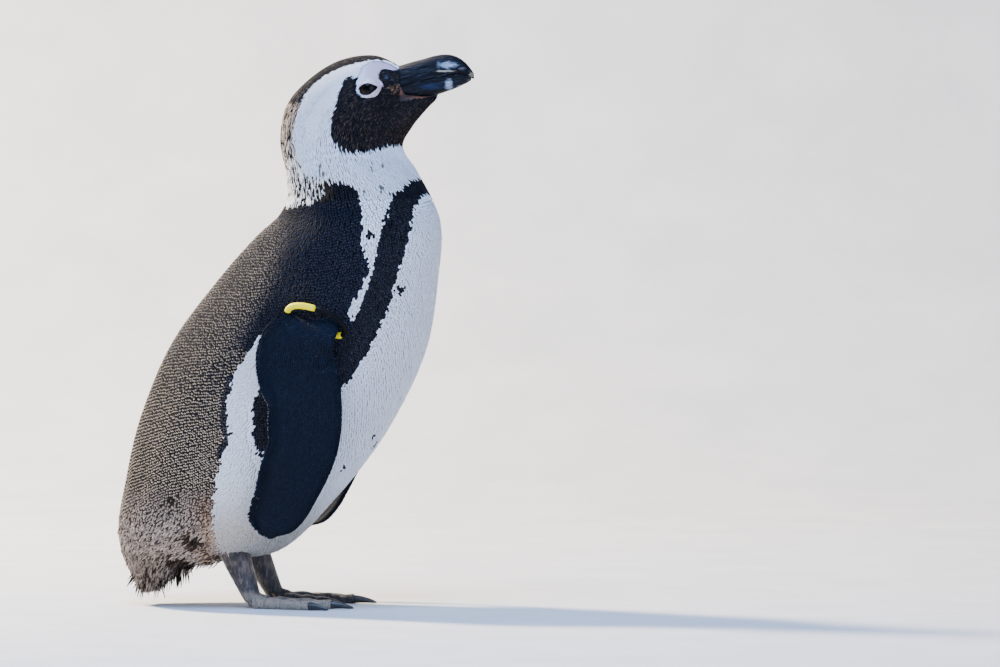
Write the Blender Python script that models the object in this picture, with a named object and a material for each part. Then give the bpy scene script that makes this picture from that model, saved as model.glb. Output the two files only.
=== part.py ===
"""A standing black-footed penguin, life size, modelled as a still museum figure.

The bird faces +X, its left side is +Y and +Z is up. The origin lies on the floor, under the middle
of the bird's bounding box. Every piece is one closed solid, and neighbours keep a thin clear gap.
"""

import math

import bmesh
import bpy
import numpy as np
from mathutils import Matrix, Vector

MM = 0.001  # every size below is in millimetres

# Driving dimensions
GAP = 0.3  # clear space between neighbouring pieces
RIGHT, LEFT = -1, 1  # the sign of Y on each side of the bird
SIDES = {"right": RIGHT, "left": LEFT}

# Plumage outline as named cross-sections from tail to bill: (back x, back z), (front x, front z),
# half width, and how far from the back the section is widest, as a share of its depth.
SECTIONS = {
    "tail_tip": ((-126.5, 13.0), (-118.5, 11.0), 13.0, 0.50),
    "tail": ((-134.5, 29.0), (-104.0, 22.0), 25.0, 0.50),
    "tail_root": ((-141.0, 45.0), (-87.0, 33.0), 40.0, 0.48),
    "rump": ((-143.0, 66.0), (-52.0, 37.5), 57.0, 0.48),
    "thigh": ((-138.0, 97.0), (-10.0, 46.0), 69.0, 0.50),
    "belly": ((-126.0, 149.0), (31.0, 85.5), 76.5, 0.52),
    "middle": ((-101.0, 209.0), (72.5, 139.0), 77.0, 0.53),
    "breast": ((-64.5, 259.0), (104.0, 203.0), 71.0, 0.53),
    "shoulder": ((-33.0, 295.0), (114.5, 262.0), 62.0, 0.53),
    "collar": ((-9.5, 318.0), (116.5, 308.0), 50.0, 0.50),
    "neck": ((-7.0, 343.0), (99.0, 346.5), 40.5, 0.48),
    "throat": ((-12.5, 374.0), (86.0, 367.0), 33.5, 0.46),
    "nape": ((-4.5, 406.0), (93.0, 383.0), 29.5, 0.44),
    "crown": ((27.0, 433.5), (105.0, 398.0), 26.5, 0.42),
    "brow": ((60.0, 441.5), (112.0, 405.0), 19.0, 0.42),
    "bill_base": ((83.5, 433.5), (115.5, 409.5), 9.0, 0.46),
}
SNOUT = (60.0, 90.0, 0.54)  # between these x the face narrows to this share, the width of the bill
SNOUT_HEIGHT = (380.0, 404.0)  # and between these z that narrowing grows from none to whole
ROUNDNESS = 2.12  # superellipse exponent of the sections: 2 is an ellipse, more is squarer
RING_SIDES = 32
SECTION_ORDER = list(SECTIONS)

# The pieces cut from that outline: first and last section, as places along SECTION_ORDER, and rings.
BODY_PIECES = {
    "tail": (0.0, 2.0, 7),
    "trunk": (2.0, 9.35, 29),
    "neck": (9.35, 11.6, 9),
    "head": (11.6, 15.0, 18),
}

# Bill: distance along X, upper edge, cutting edge, lower edge, half width
BILL_STATIONS = [
    (82.5, 432.8, 415.8, 409.2, 10.6),
    (92.5, 435.9, 418.9, 408.5, 10.2),
    (102.5, 438.6, 421.5, 408.1, 9.6),
    (112.0, 441.3, 424.0, 409.6, 8.8),
    (121.5, 442.4, 425.7, 412.6, 7.8),
    (129.5, 440.7, 427.2, 415.6, 6.5),
    (136.0, 436.6, 427.2, 418.7, 4.9),
]
HOOK_STATIONS = [(140.8, 431.4, 424.4, 2.9), (143.6, 427.4, 422.8, 1.3)]
LOWER_TIP = (139.6, 422.6, 421.0, 2.0)  # where the lower half ends behind the hook
BILL_SIDES = 14

FEATHER_EDGE = (87.5, 407.2)  # feathers end at this x, and run on as the chin below this z

EYE_CENTRE = (61.7, 19.4, 415.4)
EYE_RADIUS = 9.0

# The shoulder, where each flipper leaves the trunk: middle x and z, reach in x and z, and height
SHOULDER = (27.0, 243.0, 25.0, 22.0, 7.0)

# Flipper cross-sections from the shoulder to the tip. Each row is the blade's middle (x, distance
# from the midplane, z), its width, its thickness, and the turn in degrees that brings the leading
# edge in towards the belly.
FLIPPER_SECTIONS = [
    (27.0, 56.0, 237.0, 32.0, 11.5, 8.0),
    (27.5, 67.0, 234.5, 35.0, 12.0, 8.0),
    (27.0, 75.5, 228.5, 38.0, 12.5, 9.0),
    (20.5, 81.0, 221.0, 52.0, 11.5, 12.0),
    (13.5, 84.0, 208.0, 64.5, 10.0, 15.0),
    (14.8, 86.5, 190.0, 66.0, 8.8, 18.0),
    (20.0, 88.5, 170.0, 60.5, 8.2, 21.0),
    (20.3, 89.5, 150.0, 60.5, 7.8, 23.0),
    (18.8, 89.5, 132.0, 57.5, 7.2, 24.0),
    (12.5, 88.5, 114.0, 56.0, 6.6, 24.0),
    (6.5, 87.0, 97.0, 49.5, 6.0, 23.0),
    (0.5, 85.0, 84.0, 46.0, 5.2, 22.0),
    (-7.0, 83.0, 71.0, 36.5, 4.2, 21.0),
    (-11.5, 81.5, 63.5, 16.0, 2.6, 21.0),
]
FLIPPER_SWING = {"right": 0.0, "left": 3.0}  # degrees each flipper swings forwards at the shoulder
FLIPPER_RINGS = 21
FLIPPER_SIDES = 16

# Legs and feet
LEG_Y = 33.0  # each leg's distance from the midplane
STEP = {"right": 0.0, "left": 8.0}  # the left foot stands a little ahead
ANKLE = (-46.0, 46.0)  # x and z of the leg's upper end, inside the thigh
HEEL = (-30.0, 7.5)
LEG_RADII = (12.5, 7.2)
TOE_ROOT_X = -28.3
# Toe: length without its claw, splay outwards in degrees, radius at the root and at the end
TOES = {
    "inner": (43.0, -19.0, 5.4, 4.0),
    "middle": (62.0, 2.0, 6.0, 4.4),
    "outer": (50.0, 20.0, 5.6, 4.2),
}
TOE_APART = {"inner": -3.1, "middle": 0.45, "outer": 3.5}  # how far apart the toes' roots are
TOE_SIDES = 8
TOE_STEPS = 5
CLAW_LENGTH = {"inner": 16.0, "middle": 18.0, "outer": 17.0}
CLAW_RADIUS = 2.7
WEB_THICKNESS = 3.2
HALLUX_LENGTH = 9.0

# Identification ring round the root of the right flipper, a tube bent to a closed loop
RING_TUBE = 2.2  # radius of the black tube
SLEEVE_TUBE = 2.9  # radius of the yellow sleeve over it
RING_CENTRE = (27.6, -75.3, 228.2)
RING_ALONG = (23.8, 0.0, -11.0)  # from its middle to the leading edge of the flipper
RING_OUT = (0.0, -6.0, 14.5)  # from its middle out and up over the shoulder
RING_IN = (0.0, 5.2, -10.6)  # from its middle in and down to the armpit
SLEEVES = {"back": (86.0, 176.0), "front": (-72.0, -34.0)}  # degrees of the loop each one covers
SLEEVE_CLEAR = 3.6  # degrees of the loop between a sleeve and the tube
RING_SQUARE = 0.86  # below 1 the loop is squarer than an ellipse
DEGREES_PER_STEP = 18.0
TUBE_SIDES = 8

COLOURS = {
    "back_feathers": (0.055, 0.047, 0.040),
    "white_feathers": (0.80, 0.80, 0.78),
    "black_feathers": (0.018, 0.018, 0.022),
    "bill_horn": (0.022, 0.023, 0.028),
    "eye_dark": (0.035, 0.018, 0.010),
    "foot_skin": (0.055, 0.048, 0.043),
    "claw_horn": (0.035, 0.032, 0.032),
    "ring_black": (0.012, 0.012, 0.013),
    "ring_yellow": (0.75, 0.62, 0.05),
}
ROUGHNESS = {"bill_horn": 0.35, "eye_dark": 0.08, "claw_horn": 0.4, "ring_yellow": 0.4, "ring_black": 0.5}


def clear_scene():
    for old in list(bpy.data.objects):
        bpy.data.objects.remove(old)


def new_collection(name):
    made = bpy.data.collections.new(name)
    bpy.context.scene.collection.children.link(made)
    return made


def material(name):
    found = bpy.data.materials.get(name)
    if found:
        return found
    made = bpy.data.materials.new(name)
    made.use_nodes = True
    shader = made.node_tree.nodes["Principled BSDF"]
    shader.inputs["Base Color"].default_value = (*COLOURS[name], 1.0)
    shader.inputs["Roughness"].default_value = ROUGHNESS.get(name, 0.8)
    return made


def add_part(name, mesh, finish, collection):
    """An object for this mesh, hung on the figure's empty, with its material."""
    made = bpy.data.objects.new(name, mesh)
    collection.objects.link(made)
    mesh.materials.clear()
    mesh.materials.append(material(finish))
    mesh.shade_smooth()
    mesh.set_sharp_from_angle(angle=math.radians(40))
    made.parent = bpy.data.objects.get("penguin")
    return made


def add_cutter(name, mesh, collection):
    made = bpy.data.objects.new(name, mesh)
    collection.objects.link(made)
    made.hide_render = True
    made.display_type = "WIRE"
    return made


def smooth_rows(rows, places):
    """Rows of numbers read at fractional places along them, on a Catmull-Rom curve through each."""
    rows = np.array(rows, float)
    last = len(rows) - 1
    read = []
    for place in places:
        i = min(int(place), last - 1)
        t = place - i
        p0, p1, p2, p3 = (rows[min(max(k, 0), last)] for k in (i - 1, i, i + 1, i + 2))
        if i == 0:
            p0 = 2 * p1 - p2
        if i == last - 1:
            p3 = 2 * p2 - p1
        bend = 2 * p1 + (p2 - p0) * t
        bend += (2 * p0 - 5 * p1 + 4 * p2 - p3) * t**2 + (3 * p1 - p0 - 3 * p2 + p3) * t**3
        read.append(bend / 2)
    return read


def signed_power(value, power):
    return math.copysign(abs(value) ** power, value)


def ease(value, start, end):
    """0 before the start, 1 after the end, and smooth between."""
    share = min(max((value - start) / (end - start), 0.0), 1.0)
    return share * share * (3 - 2 * share)


def loft(name, rings):
    """A closed skin over rings that all have the same number of points, in millimetres."""
    shell = bmesh.new()
    loops = [[shell.verts.new(Vector(p) * MM) for p in ring] for ring in rings]
    for lower, upper in zip(loops, loops[1:]):
        for i in range(len(lower)):
            j = (i + 1) % len(lower)
            shell.faces.new((lower[i], lower[j], upper[j], upper[i]))
    shell.faces.new(list(reversed(loops[0])))
    shell.faces.new(loops[-1])
    bmesh.ops.recalc_face_normals(shell, faces=shell.faces)
    mesh = bpy.data.meshes.new(name)
    shell.to_mesh(mesh)
    shell.free()
    return mesh


def body_ring(row, grow):
    """One cross-section of the plumage, an egg shape in the plane through its back and front points."""
    back, front = Vector((row[0], 0, row[1])), Vector((row[2], 0, row[3]))
    half_width, widest = row[4], row[5]
    depth = (front - back).length
    forwards = (front - back) / depth
    middle = back + forwards * depth * widest
    ring = []
    for step in range(RING_SIDES):
        angle = 2 * math.pi * step / RING_SIDES
        reach = depth * ((1 - widest) if math.cos(angle) > 0 else widest) + grow
        along = signed_power(math.cos(angle), 2 / ROUNDNESS) * reach
        across = signed_power(math.sin(angle), 2 / ROUNDNESS) * (half_width + grow)
        point = middle + forwards * along + Vector((0, across, 0))
        x, z, reach_x, reach_z, height = SHOULDER
        swell = height * math.exp(-(((point.x - x) / reach_x) ** 2) - ((point.z - z) / reach_z) ** 2)
        point.y += swell * across / (half_width + grow)
        narrow = ease(point.x, SNOUT[0], SNOUT[1]) * ease(point.z, *SNOUT_HEIGHT)
        point.y *= 1 + (SNOUT[2] - 1) * narrow
        ring.append(point)
    return ring


def section_rows():
    return [(*back, *front, width, widest) for back, front, width, widest in SECTIONS.values()]


def body_mesh(name, first, last, rings, grow=0.0):
    places = np.linspace(first, last, rings)
    return loft(name, [body_ring(row, grow) for row in smooth_rows(section_rows(), places)])


def cut_gap(place):
    """Half the gap between two body pieces, as a share of the step between sections at that place."""
    a, b = smooth_rows(section_rows(), (place - 0.05, place + 0.05))
    step = min(math.dist(a[:2], b[:2]), math.dist(a[2:4], b[2:4]))
    return 0.1 * (GAP / 2) / step


def make_body(parts):
    made = {}
    ends = {"tail": 0.0, "head": float(len(SECTIONS) - 1)}
    finishes = {"tail": "back_feathers", "trunk": "back_feathers", "neck": "white_feathers", "head": "black_feathers"}
    for name, (first, last, rings) in BODY_PIECES.items():
        start = first if first == ends.get(name) else first + cut_gap(first)
        end = last if last == ends.get(name) else last - cut_gap(last)
        made[name] = add_part(name, body_mesh(name, start, end, rings), finishes[name], parts)
    return made


def bill_rings(rows, upper, grow):
    """D-shaped sections: a roof over a flat cutting edge for the upper half, a keel for the lower."""
    rings = []
    for x, edge, flat, half_width in rows:
        height = abs(edge - flat) + 2 * grow
        foot = flat - grow if upper else flat + grow
        sign = 1 if upper else -1
        ring = []
        for step in range(BILL_SIDES):
            angle = math.pi * step / (BILL_SIDES - 1)
            across = signed_power(math.cos(angle), 0.86) * (half_width + grow)
            up = math.sin(angle) ** 0.92 * height
            ring.append(Vector((x, across, foot + sign * up)))
        rings.append(ring)
    return rings


def bill_rows(upper):
    if upper:
        rows = [(x, top, cut + GAP / 2, w) for x, top, cut, low, w in BILL_STATIONS] + HOOK_STATIONS
    else:
        rows = [(x, low, cut - GAP / 2, w * 0.95) for x, top, cut, low, w in BILL_STATIONS[:-1]]
        x, cut, low, width = LOWER_TIP
        rows += [(135.0, 418.4, 426.0, 4.3), (x, low, cut, width)]
    return smooth_rows(rows, np.linspace(0, len(rows) - 1, 13))


def make_bill(parts, cutters):
    fat = []
    for name, upper in (("bill_upper", True), ("bill_lower", False)):
        add_part(name, loft(name, bill_rings(bill_rows(upper), upper, 0.0)), "bill_horn", parts)
        rows = [row.copy() for row in bill_rows(upper)]
        rows[0][0] -= GAP
        fat.append(add_cutter(f"{name}_clearance", loft(f"{name}_fat", bill_rings(rows, upper, GAP)), cutters))
    x, z = FEATHER_EDGE
    return [*fat, block("snout_clearance", (x, -40, z), (160, 40, 470), cutters)]


def block(name, low, high, cutters):
    """A box between two corners."""
    shell = bmesh.new()
    bmesh.ops.create_cube(shell, size=1.0)
    low, high = Vector(low) * MM, Vector(high) * MM
    for corner in shell.verts:
        corner.co = (low + high) / 2 + Vector(c * s for c, s in zip(corner.co, high - low))
    mesh = bpy.data.meshes.new(name)
    shell.to_mesh(mesh)
    shell.free()
    return add_cutter(name, mesh, cutters)


def ball(name, radius):
    shell = bmesh.new()
    bmesh.ops.create_uvsphere(shell, u_segments=14, v_segments=9, radius=radius * MM)
    mesh = bpy.data.meshes.new(name)
    shell.to_mesh(mesh)
    shell.free()
    return mesh


def make_eyes(parts, cutters):
    sockets = []
    for side, sign in SIDES.items():
        x, y, z = EYE_CENTRE
        place = Vector((x, sign * y, z)) * MM
        eye = add_part(f"eye_{side}", ball(f"eye_{side}", EYE_RADIUS), "eye_dark", parts)
        socket = add_cutter(f"socket_{side}", ball(f"socket_{side}", EYE_RADIUS + GAP), cutters)
        for ball_object in (eye, socket):
            ball_object.location = place
            ball_object.rotation_euler = (math.radians(90), 0, 0)
        sockets.append(socket)
    return sockets


def blade_ring(row, ahead, sign, grow):
    """A wing section square to the blade's middle line: blunt in front, fading to a thin back edge."""
    x, distance, z, chord, thickness, turn = row
    turned = math.radians(turn)
    along_blade = Vector((0, sign * ahead[1], ahead[2])).normalized()
    forwards = Vector((math.cos(turned), -sign * math.sin(turned), 0))
    forwards = (forwards - along_blade * forwards.dot(along_blade)).normalized()
    outwards = along_blade.cross(forwards) * -sign
    ring = []
    for step in range(FLIPPER_SIDES):
        angle = 2 * math.pi * step / FLIPPER_SIDES
        along = math.cos(angle)
        across = math.sin(angle) * (thickness / 2 * (0.62 + 0.38 * along) + grow)
        ring.append(Vector((x, sign * distance, z)) + forwards * along * (chord / 2 + grow) + outwards * across)
    return ring


def flipper_mesh(name, side, sign):
    places = np.linspace(0, len(FLIPPER_SECTIONS) - 1, FLIPPER_RINGS)
    rows = smooth_rows(FLIPPER_SECTIONS, places)
    middles = np.array([row[:3] for row in rows])
    ahead = np.gradient(middles, axis=0)
    mesh = loft(name, [blade_ring(row, way, sign, 0.0) for row, way in zip(rows, ahead)])
    shoulder = Vector(middles[3]) * MM
    swing = Matrix.Rotation(-math.radians(FLIPPER_SWING[side]), 4, "Y")
    mesh.transform(Matrix.Translation(shoulder) @ swing @ Matrix.Translation(-shoulder))
    return mesh


def boolean(target, cutter, operation):
    step = target.modifiers.new(f"{operation.lower()}_{cutter.name}", "BOOLEAN")
    step.operation = operation
    step.solver = "EXACT"
    step.object = cutter


def make_flippers(parts, cutters, trunk_clearance):
    for side, sign in SIDES.items():
        name = f"flipper_{side}"
        blade = add_part(name, flipper_mesh(name, side, sign), "black_feathers", parts)
        boolean(blade, trunk_clearance, "DIFFERENCE")


def tube_mesh(name, points, radii, sides, closed=False):
    """A tube through the points, as a curve with a round bevel, turned into a welded mesh."""
    curve = bpy.data.curves.new(name, "CURVE")
    curve.dimensions = "3D"
    curve.bevel_depth = MM
    curve.bevel_resolution = max(0, sides // 2 - 2)
    curve.use_fill_caps = not closed
    line = curve.splines.new("POLY")
    line.points.add(len(points) - 1)
    line.use_cyclic_u = closed
    for knot, point, radius in zip(line.points, points, radii):
        knot.co = (*(Vector(point) * MM), 1.0)
        knot.radius = radius
    guide = bpy.data.objects.new(name, curve)
    bpy.context.scene.collection.objects.link(guide)
    graph = bpy.context.evaluated_depsgraph_get()
    mesh = bpy.data.meshes.new_from_object(guide.evaluated_get(graph))
    bpy.data.objects.remove(guide)
    shell = bmesh.new()
    shell.from_mesh(mesh)
    bmesh.ops.remove_doubles(shell, verts=shell.verts, dist=0.00001)
    bmesh.ops.recalc_face_normals(shell, faces=shell.faces)
    shell.to_mesh(mesh)
    shell.free()
    return mesh


def toe_line(side, sign, toe):
    """The points along a toe's middle, low enough for its underside to be a flat, and its end direction."""
    length, splay, root_radius, end_radius = TOES[toe]
    turned = math.radians(splay)
    ahead = Vector((math.cos(turned), sign * math.sin(turned), 0))
    root = Vector((TOE_ROOT_X + STEP[side], sign * (LEG_Y + TOE_APART[toe]), 0))
    points, radii = [], []
    for step in range(TOE_STEPS + 1):
        share = step / TOE_STEPS
        knuckle = 1 + 0.07 * math.cos(share * 3 * math.tau)
        radius = (root_radius + (end_radius - root_radius) * share) * knuckle
        points.append(root + ahead * length * share + Vector((0, 0, 0.9 * radius - 0.5)))
        radii.append(radius)
    return points, radii, ahead


def web_mesh(name, side, sign):
    """The web, a flat sheet between the toes with a scalloped front edge."""
    reach = {"inner": 0.97, "middle": 0.86, "outer": 0.95}
    tips = []
    for toe, share in reach.items():
        points, _, ahead = toe_line(side, sign, toe)
        tips.append(points[0].lerp(points[-1], share))
    root = Vector((TOE_ROOT_X + STEP[side], sign * LEG_Y, 0))
    outline = [root]
    for first, second in zip(tips, tips[1:]):
        middle = (first + second) / 2
        dip = middle + (root - middle) * 0.13
        outline += [first, first.lerp(dip, 0.62), dip, second.lerp(dip, 0.62)]
    outline.append(tips[-1])
    curve = bpy.data.curves.new(name, "CURVE")
    curve.dimensions = "2D"
    curve.fill_mode = "BOTH"
    curve.extrude = WEB_THICKNESS / 2 * MM
    line = curve.splines.new("POLY")
    line.points.add(len(outline) - 1)
    line.use_cyclic_u = True
    for knot, point in zip(line.points, outline):
        knot.co = (point.x * MM, point.y * MM, 0, 1.0)
    guide = bpy.data.objects.new(name, curve)
    bpy.context.scene.collection.objects.link(guide)
    guide.location.z = (0.9 + WEB_THICKNESS / 2) * MM
    bpy.context.view_layer.update()
    graph = bpy.context.evaluated_depsgraph_get()
    mesh = bpy.data.meshes.new_from_object(guide.evaluated_get(graph))
    mesh.transform(guide.matrix_world)
    bpy.data.objects.remove(guide)
    shell = bmesh.new()
    shell.from_mesh(mesh)
    bmesh.ops.remove_doubles(shell, verts=shell.verts, dist=0.00001)
    bmesh.ops.recalc_face_normals(shell, faces=shell.faces)
    shell.to_mesh(mesh)
    shell.free()
    return mesh


def foot_parts(parts, cutters):
    """The right foot, standing at STEP zero: the ankle, three toes, the web and the hind toe in one."""
    side, sign = "right", RIGHT
    foot = add_part("foot_right", tube_mesh("foot_right", ankle_line(side, sign)[1], [6.9, 7.2, 6.0], 12), "foot_skin", parts)
    joined = new_collection("foot_cutters")
    for toe in TOES:
        points, toe_radii, _ = toe_line(side, sign, toe)
        add_cutter(f"toe_{toe}", tube_mesh(f"toe_{toe}", points, toe_radii, TOE_SIDES), joined)
    add_cutter("web", web_mesh("web", side, sign), joined)
    add_cutter("hind_toe", tube_mesh("hind_toe", hind_toe_line(side, sign), [2.6, 1.6], 8), joined)
    union = foot.modifiers.new("union_toes", "BOOLEAN")
    union.operation = "UNION"
    union.solver = "EXACT"
    union.operand_type = "COLLECTION"
    union.collection = joined
    boolean(foot, block("floor", (-150, -150, -30), (150, 150, 0), cutters), "DIFFERENCE")
    return foot


def mirrored_foot(foot, parts):
    """The left foot is the right one mirrored across the midplane, a step ahead of it."""
    graph = bpy.context.evaluated_depsgraph_get()
    mesh = bpy.data.meshes.new_from_object(foot.evaluated_get(graph))
    mesh.name = "foot_left"
    ahead = Matrix.Translation(((STEP["left"] - STEP["right"]) * MM, 0, 0))
    mesh.transform(ahead @ Matrix.Scale(-1, 4, (0, 1, 0)))
    mesh.flip_normals()
    return add_part("foot_left", mesh, "foot_skin", parts)


def ankle_line(side, sign):
    """The middle line of the feathered leg, from the thigh down, and of the bare ankle under it."""
    step = STEP[side]
    top = Vector((ANKLE[0] + step * 0.5, sign * LEG_Y, ANKLE[1] + 8))
    heel = Vector((HEEL[0] + step, sign * LEG_Y, HEEL[1]))
    shank = [top.lerp(heel, share) for share in (0.0, 0.3, 0.55, 0.8)]
    down = (heel - top).normalized()
    return [*shank, shank[-1] + down * 1.5], [shank[-1] + down * (1.5 + GAP), heel, heel + Vector((4.5, 0, -1.6))]


def hind_toe_line(side, sign):
    heel = Vector((HEEL[0] + STEP[side], sign * LEG_Y, HEEL[1]))
    root = heel + Vector((-1.0, -sign * 4.0, 1.0))
    return root, root + Vector((4.0, -sign * 7.0, -3.0)).normalized() * HALLUX_LENGTH


def make_legs(parts, cutters, trunk_clearance):
    """Each leg is the feathered shank down to the ankle. Each foot has a sole, three toes and a web."""
    for side, sign in SIDES.items():
        radii = [LEG_RADII[0] + (LEG_RADII[1] - LEG_RADII[0]) * share for share in (0.0, 0.45, 0.75, 0.95, 1.0)]
        leg = add_part(f"leg_{side}", tube_mesh(f"leg_{side}", ankle_line(side, sign)[0], radii, 12), "foot_skin", parts)
        boolean(leg, trunk_clearance, "DIFFERENCE")
        make_claws(parts, side, sign)
    mirrored_foot(foot_parts(parts, cutters), parts)


def make_claws(parts, side, sign):
    """A claw on each toe: it leaves the toe level, curves down and stops just above the floor."""
    for toe in TOES:
        points, toe_radii, ahead = toe_line(side, sign, toe)
        start = points[-1] + ahead * GAP
        length = CLAW_LENGTH[toe]
        line, radii = [], []
        for step in range(6):
            share = step / 5
            drop = (start.z - 0.9) * share**2.0
            line.append(start + ahead * length * share - Vector((0, 0, drop)))
            radii.append(CLAW_RADIUS * (1 - share) ** 0.62 + 0.35)
        add_part(f"claw_{toe}_{side}", tube_mesh(f"claw_{toe}_{side}", line, radii, 8), "claw_horn", parts)
    root, end = hind_toe_line(side, sign)
    ahead = (end - root).normalized()
    start = end + ahead * GAP
    line = [start, start + ahead * 2.5, start + ahead * 5.0 - Vector((0, 0, 0.6))]
    add_part(f"claw_hind_{side}", tube_mesh(f"claw_hind_{side}", line, [1.5, 1.1, 0.4], 8), "claw_horn", parts)


def ring_point(degrees):
    """A point on the identification ring's middle line, a rounded loop round the flipper's root."""
    angle = math.radians(degrees)
    along = signed_power(math.cos(angle), RING_SQUARE)
    across = signed_power(abs(math.sin(angle)), RING_SQUARE)
    bulge = Vector(RING_OUT if math.sin(angle) > 0 else RING_IN)
    return Vector(RING_CENTRE) + Vector(RING_ALONG) * along + bulge * across


def ring_arc(start, end):
    steps = max(2, round((end - start) / DEGREES_PER_STEP))
    turns = [start + (end - start) * i / steps for i in range(steps + 1)]
    return [ring_point(turn) for turn in (turns[0], turns[0] + 1.5, *turns[1:-1], turns[-1] - 1.5, turns[-1])]


def make_ring(parts, cutters):
    """The black tube, and the two yellow sleeves on it. They meet end to end."""
    names = list(SLEEVES)
    for i, name in enumerate(names):
        start, end = SLEEVES[name]
        line = ring_arc(start, end)
        sleeve = tube_mesh(f"ring_sleeve_{name}", line, [SLEEVE_TUBE] * len(line), TUBE_SIDES)
        add_part(f"ring_sleeve_{name}", sleeve, "ring_yellow", parts)
        following = SLEEVES[names[i - 1]][0] + (360 if SLEEVES[names[i - 1]][0] < end else 0)
        line = ring_arc(end + SLEEVE_CLEAR, following - SLEEVE_CLEAR)
        tube = tube_mesh(f"ring_tube_{name}", line, [RING_TUBE] * len(line), TUBE_SIDES)
        add_part(f"ring_tube_{name}", tube, "ring_black", parts)
    loop = [ring_point(turn) for turn in np.arange(0, 360, 15)]
    room = tube_mesh("ring_clearance", loop, [SLEEVE_TUBE + GAP] * len(loop), TUBE_SIDES, closed=True)
    return add_cutter("ring_clearance", room, cutters)


def main():
    clear_scene()
    parts = new_collection("penguin")
    cutters = new_collection("cutters")
    figure = bpy.data.objects.new("penguin", None)
    parts.objects.link(figure)
    body = make_body(parts)
    for cutter in make_bill(parts, cutters) + make_eyes(parts, cutters):
        boolean(body["head"], cutter, "DIFFERENCE")
    first, last, rings = BODY_PIECES["trunk"]
    trunk_clearance = add_cutter("trunk_clearance", body_mesh("trunk_clearance", first, last, rings, 2 * GAP), cutters)
    make_flippers(parts, cutters, trunk_clearance)
    make_legs(parts, cutters, trunk_clearance)
    boolean(body["trunk"], make_ring(parts, cutters), "DIFFERENCE")


main()
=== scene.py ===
# %% [markdown]
# # A black-footed penguin, from bare skin to feathers
#
# This lesson dresses a simple solid model of a standing penguin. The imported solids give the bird's
# size and place. Here one smooth skin takes the place of the solids of flesh, and about ninety
# thousand feathers are laid over it in rows. The bill, eyes, claws and feet get their own meshes.
#
# Sizes are in millimetres and are turned into metres at the last moment. The bird faces +X, its
# left is +Y and +Z is up.

# %% Load the figure
import math

import bmesh
import bpy
import numpy as np
from mathutils import Matrix, Vector
from mathutils.bvhtree import BVHTree


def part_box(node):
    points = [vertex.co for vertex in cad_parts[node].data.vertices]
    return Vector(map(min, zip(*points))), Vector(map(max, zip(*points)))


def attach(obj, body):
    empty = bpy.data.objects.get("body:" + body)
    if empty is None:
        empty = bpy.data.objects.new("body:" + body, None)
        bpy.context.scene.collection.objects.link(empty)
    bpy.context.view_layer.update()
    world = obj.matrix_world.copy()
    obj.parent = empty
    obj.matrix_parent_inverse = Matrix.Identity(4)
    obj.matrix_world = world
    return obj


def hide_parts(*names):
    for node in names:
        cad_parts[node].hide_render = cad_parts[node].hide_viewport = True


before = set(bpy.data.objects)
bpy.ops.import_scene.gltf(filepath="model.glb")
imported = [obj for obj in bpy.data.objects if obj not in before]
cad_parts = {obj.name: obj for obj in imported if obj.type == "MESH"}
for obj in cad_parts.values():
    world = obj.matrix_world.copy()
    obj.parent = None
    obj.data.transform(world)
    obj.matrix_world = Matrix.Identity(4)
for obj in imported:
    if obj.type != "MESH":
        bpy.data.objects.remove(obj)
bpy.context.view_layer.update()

MM = 0.001
RIGHT, LEFT = -1, 1
SIDES = {"right": RIGHT, "left": LEFT}
SCENE = bpy.context.scene.collection


def node_box(name):
    """A solid's corners and centre in millimetres."""
    low, high = (np.array(corner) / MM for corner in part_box(name))
    return low, high, (low + high) / 2


# %% [markdown]
# ## Colours and materials
#
# Colours are written as sRGB hex codes and turned into linear light by one function. Another adds a
# shader node and sets its inputs, so that each material below stays a few lines long.

# %% Colour and node helpers


def rgb(code):
    """A hex colour as linear red, green and blue."""
    parts = [int(code[i : i + 2], 16) / 255 for i in (0, 2, 4)]
    return np.array([c / 12.92 if c <= 0.04045 else ((c + 0.055) / 1.055) ** 2.4 for c in parts])


def add_node(tree, kind, settings=None, **inputs):
    """A node of this kind. An input is a value, or another node's output."""
    node = tree.nodes.new(kind)
    for key, value in (settings or {}).items():
        setattr(node, key, value)
    for key, value in inputs.items():
        name = key.replace("_", " ")
        socket = node.inputs[int(key[1:]) if key[0] == "i" and key[1:].isdigit() else name]
        if isinstance(value, bpy.types.NodeSocket):
            tree.links.new(value, socket)
        elif isinstance(value, str) or not hasattr(value, "__len__"):
            socket.default_value = value
        else:
            socket.default_value = (
                (*value, 1.0) if socket.type == "RGBA" and len(value) == 3 else tuple(value)
            )
    return node


def new_material(name, **inputs):
    """A material with one Principled shader. It returns the material, its tree and the shader."""
    made = bpy.data.materials.new(name)
    made.use_nodes = True
    tree = made.node_tree
    shader = tree.nodes["Principled BSDF"]
    for key, value in inputs.items():
        socket = shader.inputs[key.replace("_", " ")]
        socket.default_value = (*value, 1.0) if socket.type == "RGBA" else value
    return made, tree, shader


def ramp(tree, factor, *stops):
    """A colour ramp. Each stop is a place and a grey value or a colour."""
    node = add_node(tree, "ShaderNodeValToRGB", Fac=factor)
    elements = node.color_ramp.elements
    while len(elements) < len(stops):
        elements.new(0.5)
    for element, (place, colour) in zip(elements, stops):
        element.position = place
        element.color = (*(colour if hasattr(colour, "__len__") else (colour,) * 3), 1.0)
    return node.outputs["Color"]


def mix(tree, factor, first, second, mode="MIX"):
    node = add_node(tree, "ShaderNodeMix", {"data_type": "RGBA", "blend_type": mode}, i0=factor)
    for socket, value in ((node.inputs[6], first), (node.inputs[7], second)):
        if isinstance(value, bpy.types.NodeSocket):
            tree.links.new(value, socket)
        else:
            socket.default_value = (*value, 1.0)
    return node.outputs[2]


def math_node(tree, operation, first, second=0.0):
    return add_node(tree, "ShaderNodeMath", {"operation": operation}, i0=first, i1=second).outputs[0]


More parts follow.
